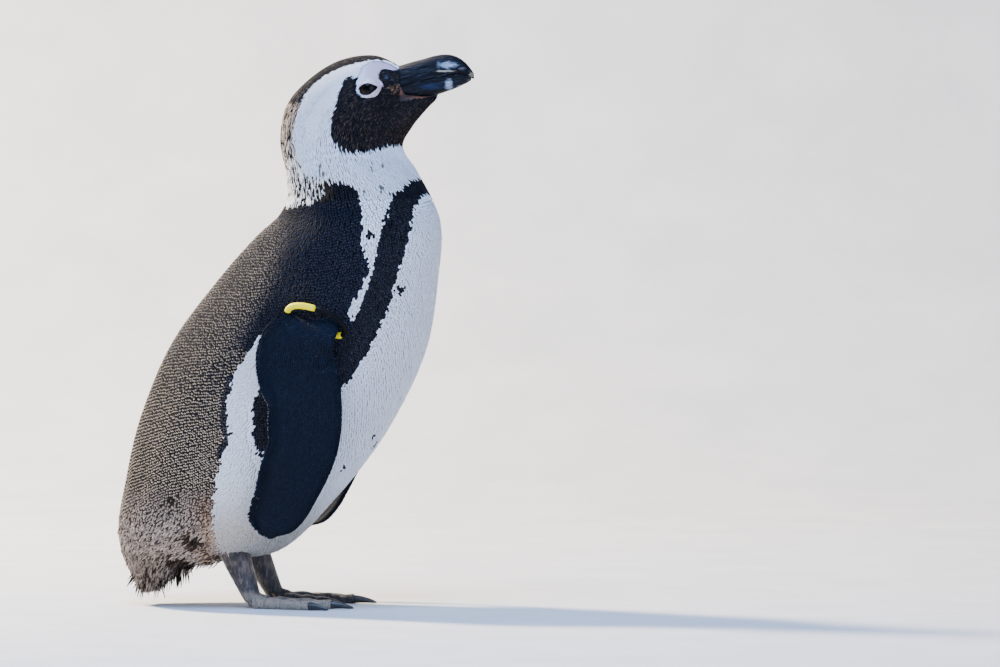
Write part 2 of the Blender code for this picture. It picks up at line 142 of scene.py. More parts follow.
def noise(tree, where, per_mm, detail=3.0, rough=0.55):
    """Noise with this many cells per millimetre."""
    node = add_node(
        tree, "ShaderNodeTexNoise", Vector=where, Scale=per_mm / MM, Detail=detail, Roughness=rough
    )
    return node.outputs["Fac"]


def object_space(tree):
    return add_node(tree, "ShaderNodeTexCoord").outputs["Object"]


def attribute(tree, name):
    """A node that reads one of the mesh's own layers."""
    return add_node(tree, "ShaderNodeAttribute", {"attribute_name": name})


def vector_math(tree, operation, first, second=(0.0, 0.0, 0.0)):
    """The vector that comes out, or the number for LENGTH."""
    node = add_node(tree, "ShaderNodeVectorMath", {"operation": operation}, i0=first, i1=second)
    return node.outputs["Value" if operation == "LENGTH" else "Vector"]


def stretched(tree, where, x, y, z):
    """Coordinates scaled apart, to stretch a pattern along one axis."""
    return add_node(tree, "ShaderNodeMapping", Vector=where, Scale=(x, y, z)).outputs["Vector"]


def bump(tree, shader, height, depth_mm, strength=1.0):
    node = add_node(tree, "ShaderNodeBump", Height=height, Distance=depth_mm * MM, Strength=strength)
    tree.links.new(node.outputs["Normal"], shader.inputs["Normal"])


def let_light_in(shader, weight, red, green, blue):
    """Light goes this many millimetres into skin."""
    shader.inputs["Subsurface Weight"].default_value = weight
    shader.inputs["Subsurface Radius"].default_value = (red * MM, green * MM, blue * MM)
    shader.inputs["Subsurface Scale"].default_value = 0.3


def triangles(made):
    return sum(len(p.vertices) - 2 for p in made.data.polygons)


print("white:", rgb("ffffff"), "mid grey:", rgb("808080").round(3))

# %% [markdown]
# ## The body's form
#
# The plumage outline is a row of named cross-sections from the tail's tip to the bill. Each has a
# point on the back, a point on the front, a half width, and the place where it is widest. A smooth
# curve runs through each row of numbers. `plumage` reads the outline at any place along the bird
# and at any angle round it, and `under_feathers` goes in from there by the coat's depth.

# %% Body sections and the surface they make
SECTIONS = {
    "tail_tip": (-126.5, 13.0, -118.5, 11.0, 13.0, 0.50),
    "tail": (-134.5, 29.0, -104.0, 22.0, 25.0, 0.50),
    "tail_root": (-141.0, 45.0, -87.0, 33.0, 40.0, 0.48),
    "rump": (-143.0, 66.0, -52.0, 37.5, 57.0, 0.48),
    "thigh": (-138.0, 97.0, -10.0, 46.0, 69.0, 0.50),
    "belly": (-126.0, 149.0, 31.0, 85.5, 76.5, 0.52),
    "middle": (-101.0, 209.0, 72.5, 139.0, 77.0, 0.53),
    "breast": (-64.5, 259.0, 104.0, 203.0, 71.0, 0.53),
    "shoulder": (-33.0, 295.0, 114.5, 262.0, 62.0, 0.53),
    "collar": (-9.5, 318.0, 116.5, 308.0, 50.0, 0.50),
    "neck": (-7.0, 343.0, 99.0, 346.5, 40.5, 0.48),
    "throat": (-12.5, 374.0, 86.0, 367.0, 33.5, 0.46),
    "nape": (-4.5, 406.0, 93.0, 383.0, 29.5, 0.44),
    "crown": (27.0, 433.5, 105.0, 398.0, 26.5, 0.42),
    "brow": (60.0, 441.5, 112.0, 405.0, 19.0, 0.42),
    "bill_base": (83.5, 433.5, 115.5, 409.5, 9.0, 0.46),
}
PLACE = {name: float(i) for i, name in enumerate(SECTIONS)}
ROUNDNESS = 2.12
SHOULDER_SWELL = (27.0, 243.0, 25.0, 22.0, 7.0)  # centre in side view, reach both ways, height
SNOUT = (60.0, 90.0, 0.54)  # x where the head starts and stops to narrow, and the share of its width left
SNOUT_HEIGHT = (380.0, 404.0)
# Coat depth in millimetres at places along the body
COAT_DEPTH = [
    (0.0, 2.0), (1.5, 3.2), (4.0, 3.6), (8.5, 3.4), (10.0, 2.8), (11.6, 2.0), (13.0, 1.5), (15.0, 1.0)
]


def ease(value, start, end):
    """0 before the start, 1 after the end, and smooth between."""
    share = np.clip((value - start) / (end - start), 0.0, 1.0)
    return share * share * (3 - 2 * share)


def blended(first, second, share):
    """The first at share 0, the second at share 1."""
    return first * (1 - share) + second * share


def hill(x, z, centre_x, centre_z, reach_x, reach_z):
    """1 at the centre, and fading round it in side view."""
    return np.exp(-(((x - centre_x) / reach_x) ** 2) - ((z - centre_z) / reach_z) ** 2)


def curve_through(rows, places):
    """Rows of numbers read at fractional places, on a Catmull-Rom curve through each row."""
    rows = np.asarray(rows, float)
    padded = np.vstack([2 * rows[:1] - rows[1:2], rows, 2 * rows[-1:] - rows[-2:-1]])
    places = np.asarray(places, float)
    i = np.clip(places.astype(int), 0, len(rows) - 2)
    t = (places - i)[..., None]
    p0, p1, p2, p3 = (padded[i + k] for k in range(4))
    bend = (
        2 * p1 + (p2 - p0) * t + (2 * p0 - 5 * p1 + 4 * p2 - p3) * t**2
        + (3 * p1 - p0 - 3 * p2 + p3) * t**3
    )
    return bend / 2


def signed_power(value, power):
    return np.sign(value) * np.abs(value) ** power


def plumage(place, angle):
    """Points on the tips of the feathers. Angle 0 is the front and pi the back."""
    place, angle = np.broadcast_arrays(np.asarray(place, float), np.asarray(angle, float))
    row = curve_through(list(SECTIONS.values()), place)
    back, front, half_width, widest = row[..., 0:2], row[..., 2:4], row[..., 4], row[..., 5]
    span = front - back
    depth = np.linalg.norm(span, axis=-1)
    reach = np.where(np.cos(angle) > 0, 1 - widest, widest) * depth
    along = signed_power(np.cos(angle), 2 / ROUNDNESS) * reach + depth * widest
    flat = back + span / depth[..., None] * along[..., None]
    x, z = flat[..., 0], flat[..., 1]
    y = signed_power(np.sin(angle), 2 / ROUNDNESS) * half_width
    *swell, height = SHOULDER_SWELL
    y = y * (1 + height * hill(x, z, *swell) / half_width)
    y = y * (1 + (SNOUT[2] - 1) * ease(x, *SNOUT[:2]) * ease(z, *SNOUT_HEIGHT))
    return np.stack([x, y, z], axis=-1)


def frame_at(surface, place, angle, step=0.01):
    """The point, outward normal and headward direction of a surface at a place and an angle."""
    point = surface(place, angle)
    headward = surface(place + step, angle) - surface(place - step, angle)
    round_it = surface(place, angle + step) - surface(place, angle - step)
    normal = np.cross(round_it, headward)
    normal /= np.linalg.norm(normal, axis=-1, keepdims=True) + 1e-12
    headward /= np.linalg.norm(headward, axis=-1, keepdims=True) + 1e-12
    return point, normal, headward


def grain(u, v, seed):
    """Smooth random numbers from 0 to 1, one to each unit of u and v."""
    table = np.random.default_rng(seed).random((97, 97))
    i, j = np.floor(u).astype(int), np.floor(v).astype(int)
    s, t = ease(u - i, 0, 1), ease(v - j, 0, 1)
    corners = [table[(i + a) % 97, (j + b) % 97] for a in (0, 1) for b in (0, 1)]
    return blended(blended(*corners[:2], t), blended(*corners[2:], t), s)


EYE_CENTRES = {side: node_box(f"eye_{side}")[2] for side in SIDES}
EYE_RADIUS = 9.0
LID_OUTER = (8.5, 6.1)  # half length and half height of the ring of bare skin round the eye
LID_TILT = 8.0  # degrees that the eye's front corner is higher
EYE_INNER_Y = 12.0  # nearer the middle of the head than this, a point is by neither eye
SOCKET_DEPTH = 4.5
SEAT_X, SEAT_HEIGHT, SEAT_TUCK = (85.5, 90.0), (405.5, 408.5), 0.45  # narrower where the bill sits


def eye_offsets(point):
    """A point's distance along and across the nearer eye, and both as a share of the lid's reach."""
    centre = EYE_CENTRES["left"]
    turned = math.radians(LID_TILT)
    x, z = point[..., 0] - centre[0], point[..., 2] - centre[2]
    along, across = x * math.cos(turned) + z * math.sin(turned), z * math.cos(turned) - x * math.sin(turned)
    share = np.hypot((along - 0.6) / LID_OUTER[0], across / LID_OUTER[1])
    return along, across, np.where(np.abs(point[..., 1]) > EYE_INNER_Y, share, 9.0)


def under_feathers(place, angle):
    """Points on the skin: the outline less the coat, with the sockets and the seat of the bill."""
    place = np.clip(place, 0.0, PLACE["bill_base"])
    point, normal, _ = frame_at(plumage, place, angle)
    depth = np.interp(place, *zip(*COAT_DEPTH))
    _, _, share = eye_offsets(point)
    depth = depth + SOCKET_DEPTH * (1 - ease(share, 0.55, 1.0))
    skin = point - normal * depth[..., None]
    tuck = 1 - SEAT_TUCK * ease(skin[..., 0], *SEAT_X) * ease(skin[..., 2], *SEAT_HEIGHT)
    return skin * np.stack([np.ones_like(tuck), tuck, np.ones_like(tuck)], axis=-1)


sample = plumage(np.array([PLACE["middle"]] * 2), np.array([0.0, math.pi]))
print("front and back at the middle:", sample.round(1).tolist())

# %% [markdown]
# ## Flippers, legs and feet
#
# A flipper is a row of wing sections strung along a bent middle line. Angle 0 is its leading edge,
# pi its trailing edge, and the outer face lies between them. The legs and toes are tapered tubes
# along short lines, which are later melted into one surface with the web between the toes.

# %% Flipper surface, leg and toe lines
FLIPPER_SECTIONS = [  # middle x, y and z, chord, thickness, and degrees that the front edge turns in
    (27.0, 56.0, 237.0, 32.0, 11.5, 8.0),
    (27.5, 67.0, 234.5, 35.0, 12.0, 8.0),
    (27.0, 75.5, 228.5, 38.0, 12.5, 9.0),
    (20.5, 81.0, 221.0, 52.0, 11.5, 12.0),
    (13.5, 84.0, 208.0, 64.5, 10.0, 15.0),
    (14.8, 86.5, 190.0, 66.0, 8.8, 18.0),
    (20.0, 88.5, 170.0, 60.5, 8.2, 21.0),
    (20.3, 89.5, 150.0, 60.5, 7.8, 23.0),
    (18.8, 89.5, 132.0, 57.5, 7.2, 24.0),
    (12.5, 88.5, 114.0, 56.0, 6.6, 24.0),
    (6.5, 87.0, 97.0, 49.5, 6.0, 23.0),
    (0.5, 85.0, 84.0, 46.0, 5.2, 22.0),
    (-7.0, 83.0, 71.0, 36.5, 4.2, 21.0),
    (-11.5, 81.5, 63.5, 16.0, 2.6, 21.0),
]
FLIPPER_TIP = float(len(FLIPPER_SECTIONS) - 1)
FLIPPER_INSET = 0.45  # from the feathers' tips down to the skin
FLIPPER_SWING = {"right": 0.0, "left": 1.6}  # degrees that it is swung forwards
LEG_Y = 33.0
STEP = {"right": 0.0, "left": 8.0}
HEEL = (-30.0, 7.5)
ANKLE = (-46.0, 54.0)
TOES = {  # length, splay in degrees, radius at the root and at the end, how far out the root is
    "inner": (43.0, -19.0, 5.4, 4.0, -3.1),
    "middle": (62.0, 2.0, 6.0, 4.4, 0.45),
    "outer": (50.0, 20.0, 5.6, 4.2, 3.5),
}
TOE_ROOT_X = -28.3
CLAW_LENGTH = {"inner": 16.0, "middle": 18.0, "outer": 17.0}


def unit(vector):
    return vector / (np.linalg.norm(vector, axis=-1, keepdims=True) + 1e-12)


def flipper(side, inset=0.0):
    """A flipper's surface as a function of the place along it and the angle round it."""
    sign = SIDES[side]
    pivot = curve_through(FLIPPER_SECTIONS, 1.95)[:3] * (1, sign, 1)
    swing = math.radians(FLIPPER_SWING[side])

    def middle(place):
        return curve_through(FLIPPER_SECTIONS, place)[..., :3] * (1, sign, 1)

    def surface(place, angle):
        place, angle = np.broadcast_arrays(np.asarray(place, float), np.asarray(angle, float))
        place = np.clip(place, 0.0, FLIPPER_TIP)
        row = curve_through(FLIPPER_SECTIONS, place)
        chord, thickness, turned = row[..., 3], row[..., 4], np.radians(row[..., 5])
        blade = unit(
            middle(np.clip(place + 0.1, 0, FLIPPER_TIP)) - middle(np.clip(place - 0.1, 0, FLIPPER_TIP))
        )
        forwards = np.stack([np.cos(turned), -sign * np.sin(turned), np.zeros_like(turned)], axis=-1)
        forwards = unit(forwards - blade * (forwards * blade).sum(-1, keepdims=True))
        outwards = np.cross(blade, forwards) * -sign
        fullness = 0.62 + 0.38 * np.cos(angle)
        along = np.cos(angle) * (chord / 2 - inset)
        across = np.sin(angle) * (thickness / 2 - inset) * fullness
        point = middle(place) + forwards * along[..., None] + outwards * across[..., None]
        away = point - pivot
        x = away[..., 0] * math.cos(swing) - away[..., 2] * math.sin(swing)
        z = away[..., 0] * math.sin(swing) + away[..., 2] * math.cos(swing)
        return np.stack([x, away[..., 1], z], axis=-1) + pivot

    return surface


def leg_line(side):
    top = np.array([ANKLE[0] + STEP[side] * 0.5, SIDES[side] * LEG_Y, ANKLE[1]])
    heel = np.array([HEEL[0] + STEP[side], SIDES[side] * LEG_Y, HEEL[1]])
    return top, heel


def toe_line(side, toe, steps=24):
    """Points and radii along a toe, with a swelling at each joint, and its heading."""
    length, splay, root_radius, end_radius, apart = TOES[toe]
    sign, turned = SIDES[side], math.radians(splay)
    ahead = np.array([math.cos(turned), sign * math.sin(turned), 0.0])
    root = np.array([TOE_ROOT_X + STEP[side], sign * (LEG_Y + apart), 0.0])
    share = np.linspace(0, 1, steps)
    radii = (root_radius + (end_radius - root_radius) * share) * (0.97 + 0.06 * np.cos(share * 3 * math.tau))
    points = root + ahead * length * share[:, None]
    points[:, 2] = 0.9 * radii - 0.5
    return points, radii, ahead


print("flipper tip:", flipper("right")(FLIPPER_TIP, 0.0).round(1), "toes:", list(TOES))

# %% [markdown]
# ## Markings
#
# The coat's pattern is drawn as a few outlines in side view, in millimetres on the bird, and is the
# same on both sides. Skin and feathers ask one function for the colour at a point, so they always
# agree. A feather asks at its tip, and that gives the borders their ragged look.

# %% Where each colour lies
SIDE_AZIMUTH, SIDE_ELEVATION = math.radians(8.0), math.radians(3.0)
FACE_MASK = [
    (86.0, 425.6), (83.0, 426.2), (80.2, 428.4), (76.3, 427.3), (73.8, 429.3), (70.2, 429.3),
    (67.4, 427.3), (65.9, 424.1), (66.3, 421.2), (68.1, 419.1), (68.8, 417.0), (67.7, 414.1),
    (65.6, 411.6), (63.1, 409.1), (58.4, 406.6), (53.1, 407.3), (49.5, 409.8), (47.7, 412.6),
    (46.6, 417.7), (45.2, 421.2), (42.0, 423.4), (39.1, 421.6), (37.0, 418.4), (34.2, 411.2),
    (31.2, 400.8), (28.0, 390.4), (27.0, 379.2), (29.6, 368.0), (36.0, 361.6), (46.4, 359.2),
    (57.6, 360.4), (68.8, 364.4), (79.2, 366.4), (86.4, 365.6), (110.0, 366.0), (130.0, 404.8),
    (118.0, 414.0), (85.6, 411.2),
]
DARK_BACK = [
    (86.0, 431.0), (82.7, 432.6), (78.1, 433.6), (72.7, 435.6), (66.0, 436.6), (58.4, 436.2),
    (52.0, 434.8), (42.3, 432.2), (33.6, 429.6), (20.8, 422.4), (11.2, 414.4), (5.6, 406.4), (1.6, 396.8),
    (-1.6, 384.8), (-3.2, 372.8), (0.0, 360.8), (3.2, 352.8), (8.0, 342.4), (19.2, 338.0), (35.2, 336.5),
    (47.2, 332.8), (51.2, 324.8), (53.6, 312.8), (52.8, 300.8), (52.0, 288.8), (55.2, 278.4),
    (59.6, 268.8), (56.0, 260.8), (49.6, 248.8), (43.2, 240.8), (40.0, 229.0), (51.0, 223.0),
    (47.0, 205.0), (41.0, 192.0), (22.0, 186.0), (-14.0, 204.0), (-24.0, 222.0), (-36.8, 204.8),
    (-44.8, 192.8), (-51.2, 180.8), (-54.4, 164.8), (-56.0, 148.8), (-53.0, 132.8), (-59.2, 120.8),
    (-64.0, 100.8), (-66.4, 76.8), (-67.2, 60.8), (-63.2, 46.4), (-52.0, 34.0), (-60.0, -30.0),
    (-200.0, -30.0), (-200.0, 250.0), (-60.0, 470.0), (86.0, 470.0),
]
BREAST_BAND = [  # middle line and half width
    (125.0, 340.0, 6.0), (98.4, 333.0, 7.5), (86.4, 320.8, 9.5), (78.4, 292.8, 11.5), (71.6, 264.8, 10.0),
    (62.4, 236.8, 10.5), (49.6, 208.8, 10.0), (33.0, 184.0, 10.5), (8.0, 172.0, 13.0), (-14.0, 158.0, 21.0),
    (-14.0, 142.0, 21.5), (-12.0, 128.0, 20.0), (-10.0, 116.0, 17.0), (-5.0, 104.0, 11.0),
]
SPOTS = [  # x, y to either side, z, radius, and the way the body faces there, in radians from ahead
    (91.5, 47.8, 255.6, 3.2, 0.82), (67.4, 53.1, 299.1, 2.2, 1.36), (71.0, 52.1, 299.5, 1.6, 1.3),
    (65.0, 26.2, 135.6, 2.7, 0.32), (65.2, 11.0, 127.6, 2.1, 0.12), (44.8, 35.2, 113.7, 2.5, 0.45),
]
SPOT_REACH = 12  # a spot doesn't show through to the body's other surfaces further off
BARE_FACE = [
    (48.6, 413.6), (50.0, 422.0), (55.0, 430.6), (62.0, 435.0), (70.0, 434.6), (77.0, 432.0),
    (84.6, 427.9), (80.2, 428.4), (76.3, 427.6), (73.8, 429.6), (70.2, 429.6), (67.4, 427.6),
    (65.9, 424.1), (66.3, 421.2), (68.1, 419.1), (68.8, 417.0), (67.7, 414.1), (63.1, 409.1),
    (58.4, 406.8), (53.1, 407.4), (49.5, 409.8),
]
WHITE, BLACK, BACK, RUMP, NAPE = range(5)
CROWN_EDGE, MASK_EDGE, NAPE_EDGE, RUMP_EDGE = 400, 355, 336, 92  # heights where one kind ends
NAPE_FRONT = 22


def side_view(point):
    """Where a point shows as seen from the bird's side, a little ahead of it and above."""
    x, y, z = point[..., 0], -np.abs(point[..., 1]), point[..., 2]
    away = y * math.cos(SIDE_AZIMUTH) - x * math.sin(SIDE_AZIMUTH)
    along = x * math.cos(SIDE_AZIMUTH) + y * math.sin(SIDE_AZIMUTH)
    return along, z * math.cos(SIDE_ELEVATION) + away * math.sin(SIDE_ELEVATION)


def inside(outline, along, height):
    """Which points lie inside a closed outline, by counting the edges to one side of each."""
    crossed = np.zeros(np.shape(along), bool)
    for (x1, z1), (x2, z2) in zip(outline, outline[1:] + outline[:1]):
        if z1 != z2:
            between = (z1 > height) != (z2 > height)
            crossed ^= between & (along < (x2 - x1) * (height - z1) / (z2 - z1) + x1)
    return crossed


def near_line(line, along, height):
    """Which points lie within a line's half width of it."""
    found = np.zeros(np.shape(along), bool)
    for (x1, z1, w1), (x2, z2, w2) in zip(line, line[1:]):
        span = (x2 - x1) ** 2 + (z2 - z1) ** 2
        share = np.clip(((along - x1) * (x2 - x1) + (height - z1) * (z2 - z1)) / span, 0, 1)
        gap = np.hypot(along - x1 - share * (x2 - x1), height - z1 - share * (z2 - z1))
        found |= gap < w1 + (w2 - w1) * share
    return found


def marking(point):
    """The kind of plumage at each point."""
    along, height = side_view(point)
    kind = np.full(along.shape, WHITE)
    dark = inside(DARK_BACK, along, height)
    kind[dark] = BACK
    kind[dark & (height > CROWN_EDGE)] = BLACK
    kind[dark & (height <= CROWN_EDGE) & (height > NAPE_EDGE) & (along < NAPE_FRONT)] = NAPE
    kind[dark & (height < RUMP_EDGE)] = RUMP
    kind[near_line(BREAST_BAND, along, height)] = BLACK
    for x, y, z, radius, facing in SPOTS:
        ahead, apart, above = point[..., 0] - x, np.abs(point[..., 1]) - y, point[..., 2] - z
        across = ahead * math.sin(facing) - apart * math.cos(facing)
        near = (np.abs(ahead) < SPOT_REACH) & (np.abs(apart) < SPOT_REACH)
        kind[(np.hypot(across, above) < radius) & near] = BLACK
    kind[inside(FACE_MASK, along, height) & (height > MASK_EDGE)] = BLACK
    return kind


def blacken_by_bill(kind, along, height):
    """Leaves no white between the mask and the bill's root."""
    kind[(kind == WHITE) & (along > 64) & (height > 404) & (height < 429)] = BLACK


def bare_face(point):
    along, height = side_view(point)
    return (inside(BARE_FACE, along, height) | (eye_offsets(point)[2] < 1.0)) & (np.abs(point[..., 1]) > 5)


KIND_COLOURS = {  # feather, and its tip
    # The white feathers' slight blue is painted skylight
    WHITE: ("e6ecf4", "f4f6f9"),
    BLACK: ("12141a", "2d3039"),
    BACK: ("1b1816", "a79d90"),
    RUMP: ("2a241f", "a0948a"),
    NAPE: ("2c2825", "b1a796"),
}


def kind_colour(kind, end=0):
    table = np.array([rgb(KIND_COLOURS[k][end]) for k in sorted(KIND_COLOURS)])
    return table[kind]


test = plumage(np.linspace(0.5, 14.5, 400)[:, None], np.linspace(0, math.pi, 60)[None, :])
shares = np.bincount(marking(test).ravel(), minlength=5) / test[..., 0].size
print("share of each kind:", shares.round(2))

# %% [markdown]
# ## The skin
#
# The skin is one mesh: the body, two flippers and two feet. A grid of rings makes each surface. The
# legs and toes are melted together with a voxel remesh, which also rounds the creases between them.

# %% Mesh helpers


def mesh_from(name, vertices, faces):
    """A mesh from points in millimetres."""
    mesh = bpy.data.meshes.new(name)
    mesh.from_pydata((np.asarray(vertices) * MM).tolist(), [], faces)
    mesh.validate()
    return mesh


def grid_faces(rings, sides, start=0, caps=True):
    """Quads over rings of points, with a face at each end."""
    faces = []
    for r in range(rings - 1):
        a, b = start + r * sides, start + (r + 1) * sides
        faces += [(a + s, a + (s + 1) % sides, b + (s + 1) % sides, b + s) for s in range(sides)]
    if caps:
        faces.append(tuple(start + s for s in reversed(range(sides))))
        faces.append(tuple(start + (rings - 1) * sides + s for s in range(sides)))
    return faces


def tube(points, radii, sides):
    """Rings of points round a line, as an array of ring, side and coordinate."""
    points = np.asarray(points, float)
    ahead = unit(np.gradient(points, axis=0))
    across = unit(np.cross(ahead, (0.0, 0.0, 1.0)))
    upward = np.cross(across, ahead)
    angle = np.linspace(0, math.tau, sides, endpoint=False)[None, :, None]
    rim = across[:, None] * np.cos(angle) + upward[:, None] * np.sin(angle)
    return points[:, None] + rim * np.asarray(radii, float)[:, None, None]


def add_object(name, mesh, material=None):
    made = bpy.data.objects.new(name, mesh)
    SCENE.objects.link(made)
    if material:
        mesh.materials.append(material)
    mesh.shade_smooth()
    return made


def applied(made):
    """The object with its modifiers worked into its mesh."""
    graph = bpy.context.evaluated_depsgraph_get()
    mesh = bpy.data.meshes.new_from_object(
        made.evaluated_get(graph), preserve_all_data_layers=True, depsgraph=graph
    )
    old = made.data
    made.modifiers.clear()
    made.data = mesh
    mesh.name = made.name
    bpy.data.meshes.remove(old)
    return made


def outward(mesh):
    shell = bmesh.new()
    shell.from_mesh(mesh)
    bmesh.ops.recalc_face_normals(shell, faces=shell.faces)
    shell.to_mesh(mesh)
    shell.free()
    return mesh


def lofts(name, parts, material=None):
    """One object over several arrays of rings."""
    vertices, faces = [], []
    for rings in parts:
        count, sides = rings.shape[:2]
        faces += grid_faces(count, sides, sum(len(v) for v in vertices))
        vertices.append(rings.reshape(-1, 3))
    return add_object(name, outward(mesh_from(name, np.vstack(vertices), faces)), material)


print("mesh helpers ready")

# %% Body skin, flipper skin and feet
BODY_SIDES, FLIPPER_SIDES, FLIPPER_RINGS = 144, 48, 90
MELT_VOXEL = 0.7
SKIN_SHADE = 0.85  # how dark the skin is beside the feathers over it
TAIL_START, HEAD_START = 0.25, 11.6  # places along the body


def body_places():
    """Ring places, closer together on the head."""
    trunk = np.linspace(TAIL_START, HEAD_START, 150, endpoint=False)
    return np.append(trunk, np.linspace(HEAD_START, PLACE["bill_base"], 110))


def hind_toe(side):
    """The root and heading of the small toe that points inwards."""
    sign = SIDES[side]
    return leg_line(side)[1] + (-1.0, -sign * 4.0, 1.0), unit(np.array([4.0, -sign * 7.0, -3.0]))


def foot_rings(side):
    """Tubes for the leg and its toes."""
    top, heel = leg_line(side)
    share = np.linspace(0, 1, 14)[:, None]
    shank = top + (heel - top) * share
    radii = np.interp(share[:, 0], [0, 0.4, 0.75, 1.0], [12.4, 11.0, 8.6, 6.9])
    shank[:, 0] -= 2.6 * (1 - share[:, 0]) ** 0.7
    pad = np.array([[-4.5, 0, -2.6], [-2.0, 0, -1.6], [3.0, 0, -1.2], [9.0, 0, -2.2], [14.0, 0, -2.8]])
    rings = [tube(shank, radii, 24), tube(heel + pad, [3.4, 5.4, 6.4, 5.8, 4.2], 20)]
    for toe in TOES:
        points, radii, _ = toe_line(side, toe)
        rings.append(tube(points, radii - 0.35, 20))
    hind, ahead = hind_toe(side)
    rings.append(tube([hind, hind + ahead * 8.6], [2.4, 1.4], 12))
    return rings


def web(side):
    """Two sheets of skin between the toes, thinner towards their scalloped front edge."""
    lines = [toe_line(side, toe)[0] for toe in TOES]
    reach = (0.98, 0.87, 0.96)
    rings = []
    for (first, a), (second, b) in zip(zip(lines, reach), zip(lines[1:], reach[1:])):
        for share in np.linspace(0, 1, 12):
            one = first[0] + (first[-1] - first[0]) * a * share
            two = second[0] + (second[-1] - second[0]) * b * share
            across = np.linspace(0, 1, 16)
            dip = 0.13 * 4 * across * (1 - across) * share
            row = one + (two - one) * across[:, None]
            row = row + (first[0] - row) * dip[:, None]
            half = 1.35 - 0.45 * share
            row[:, 2] = 1.9 - 0.3 * share
            rings.append(np.vstack([row + (0, 0, half), (row - (0, 0, half))[::-1]]))
    return [np.array(rings[:12]), np.array(rings[12:])]


def make_foot(side):
    made = lofts(f"foot_form_{side}", foot_rings(side) + web(side))
    melt = made.modifiers.new("melt", "REMESH")
    melt.mode = "VOXEL"
    melt.voxel_size = MELT_VOXEL * MM
    soften = made.modifiers.new("soften", "SMOOTH")
    soften.factor, soften.iterations = 0.5, 4
    applied(made)
    for vertex in made.data.vertices:
        vertex.co.z = max(vertex.co.z, 0.0)
    return made


def colour_layer(mesh, colours, name="tint", alpha=1.0):
    layer = mesh.color_attributes.new(name, "FLOAT_COLOR", "POINT")
    colours = np.column_stack([colours, np.full(len(colours), alpha)])
    layer.data.foreach_set("color", colours.astype(np.float32).ravel())


def vectors_of(mesh, name):
    """The vertices' co or normal, one row each."""
    values = np.empty(len(mesh.vertices) * 3, np.float32)
    mesh.vertices.foreach_get(name, values)
    return values.reshape(-1, 3)


def join(made, others):
    """Joins mesh objects into the first, keeping their materials and layers."""
    with bpy.context.temp_override(active_object=made, selected_editable_objects=[made, *others]):
        bpy.ops.object.join()
    return made


def skin_material():
    made, tree, shader = new_material("bare skin under feathers", Roughness=0.75)
    tint = attribute(tree, "tint").outputs["Color"]
    where = object_space(tree)
    fine = noise(tree, where, 0.9, 6.0, 0.65)
    shade = mix(tree, 0.35, tint, ramp(tree, fine, (0.3, 0.35), (0.7, 1.0)), "MULTIPLY")
    tree.links.new(shade, shader.inputs["Base Color"])
    folds = noise(tree, stretched(tree, where, 0.5, 1.0, 1.6), 1.1, 5.0, 0.6)
    bump(tree, shader, folds, 0.35, 0.8)
    let_light_in(shader, 0.08, 4.0, 1.5, 1.0)
    return made


def scaly_material():
    """Leather of small scales in the foot's own colours, mottled and streaked."""
    made, tree, shader = new_material("scaly foot leather", Roughness=0.42, Specular_IOR_Level=0.5)
    where = object_space(tree)
    tint = attribute(tree, "tint").outputs["Color"]
    size = {"Vector": where, "Scale": 0.85 / MM, "Randomness": 0.85}
    scales = add_node(tree, "ShaderNodeTexVoronoi", **size)
    edges = add_node(tree, "ShaderNodeTexVoronoi", {"feature": "DISTANCE_TO_EDGE"}, **size)
    patches = noise(tree, where, 0.075, 5.0, 0.6)
    base = mix(tree, ramp(tree, patches, (0.5, 0.0), (0.66, 0.3)), tint, rgb("7c6f69"))
    streaks = noise(tree, stretched(tree, where, 1, 1, 0.3), 0.42, 5.0, 0.65)
    base = mix(tree, ramp(tree, streaks, (0.53, 0.0), (0.68, 0.6)), base, rgb("91857b"))
    base = mix(tree, ramp(tree, streaks, (0.34, 0.75), (0.47, 0.0)), base, rgb("0c0c0f"))
    base = mix(tree, math_node(tree, "MULTIPLY", scales.outputs["Distance"], 0.22), base, rgb("6a625e"))
    seams = ramp(tree, edges.outputs["Distance"], (0.0, 0.25), (0.12, 1.0))
    base = mix(tree, 0.9, base, seams, "MULTIPLY")
    tree.links.new(base, shader.inputs["Base Color"])
    height = ramp(tree, edges.outputs["Distance"], (0.0, 0.0), (0.22, 1.0))
    creases = noise(tree, stretched(tree, where, 2.2, 0.5, 0.5), 0.35, 4.0)
    height = mix(tree, 0.35, height, creases)
    bump(tree, shader, height, 0.45, 0.9)
    return made


def skin_colour(points):
    """The markings, darker under white feathers, with pink and bluish bare skin on the face."""
    along, height = side_view(points)
    kind = marking(points)
    blacken_by_bill(kind, along, height)
    colour = kind_colour(kind) * SKIN_SHADE
    bare = bare_face(points)
    pink = np.clip((height - 405) / 26, 0, 1)[:, None]
    blue = ease(along, 60.0, 49.0)[:, None]
    shade = blended(blended(rgb("cfc3cc"), rgb("c3aebd"), pink), rgb("d6dcea"), blue)
    colour[bare] = shade[bare]
    gape = hill(along, height, 82, 411.5, 7.5, 4.2)
    chin = hill(along, height, 99, 405.5, 9.5, 2.6)
    warm = np.clip(np.maximum(gape, chin) * 1.1, 0, 0.9)[:, None]
    fold = np.sin(along * 2.1 + 1.5 * np.sin(height * 1.3)) * np.sin(height * 2.4 + along * 0.6)
    fold = 0.4 * np.abs(fold)[:, None] + 0.8 * grain(along / 1.7, height / 0.9, 17)[:, None]
    return blended(colour, blended(rgb("26130e"), rgb("8f5c44"), fold), warm)


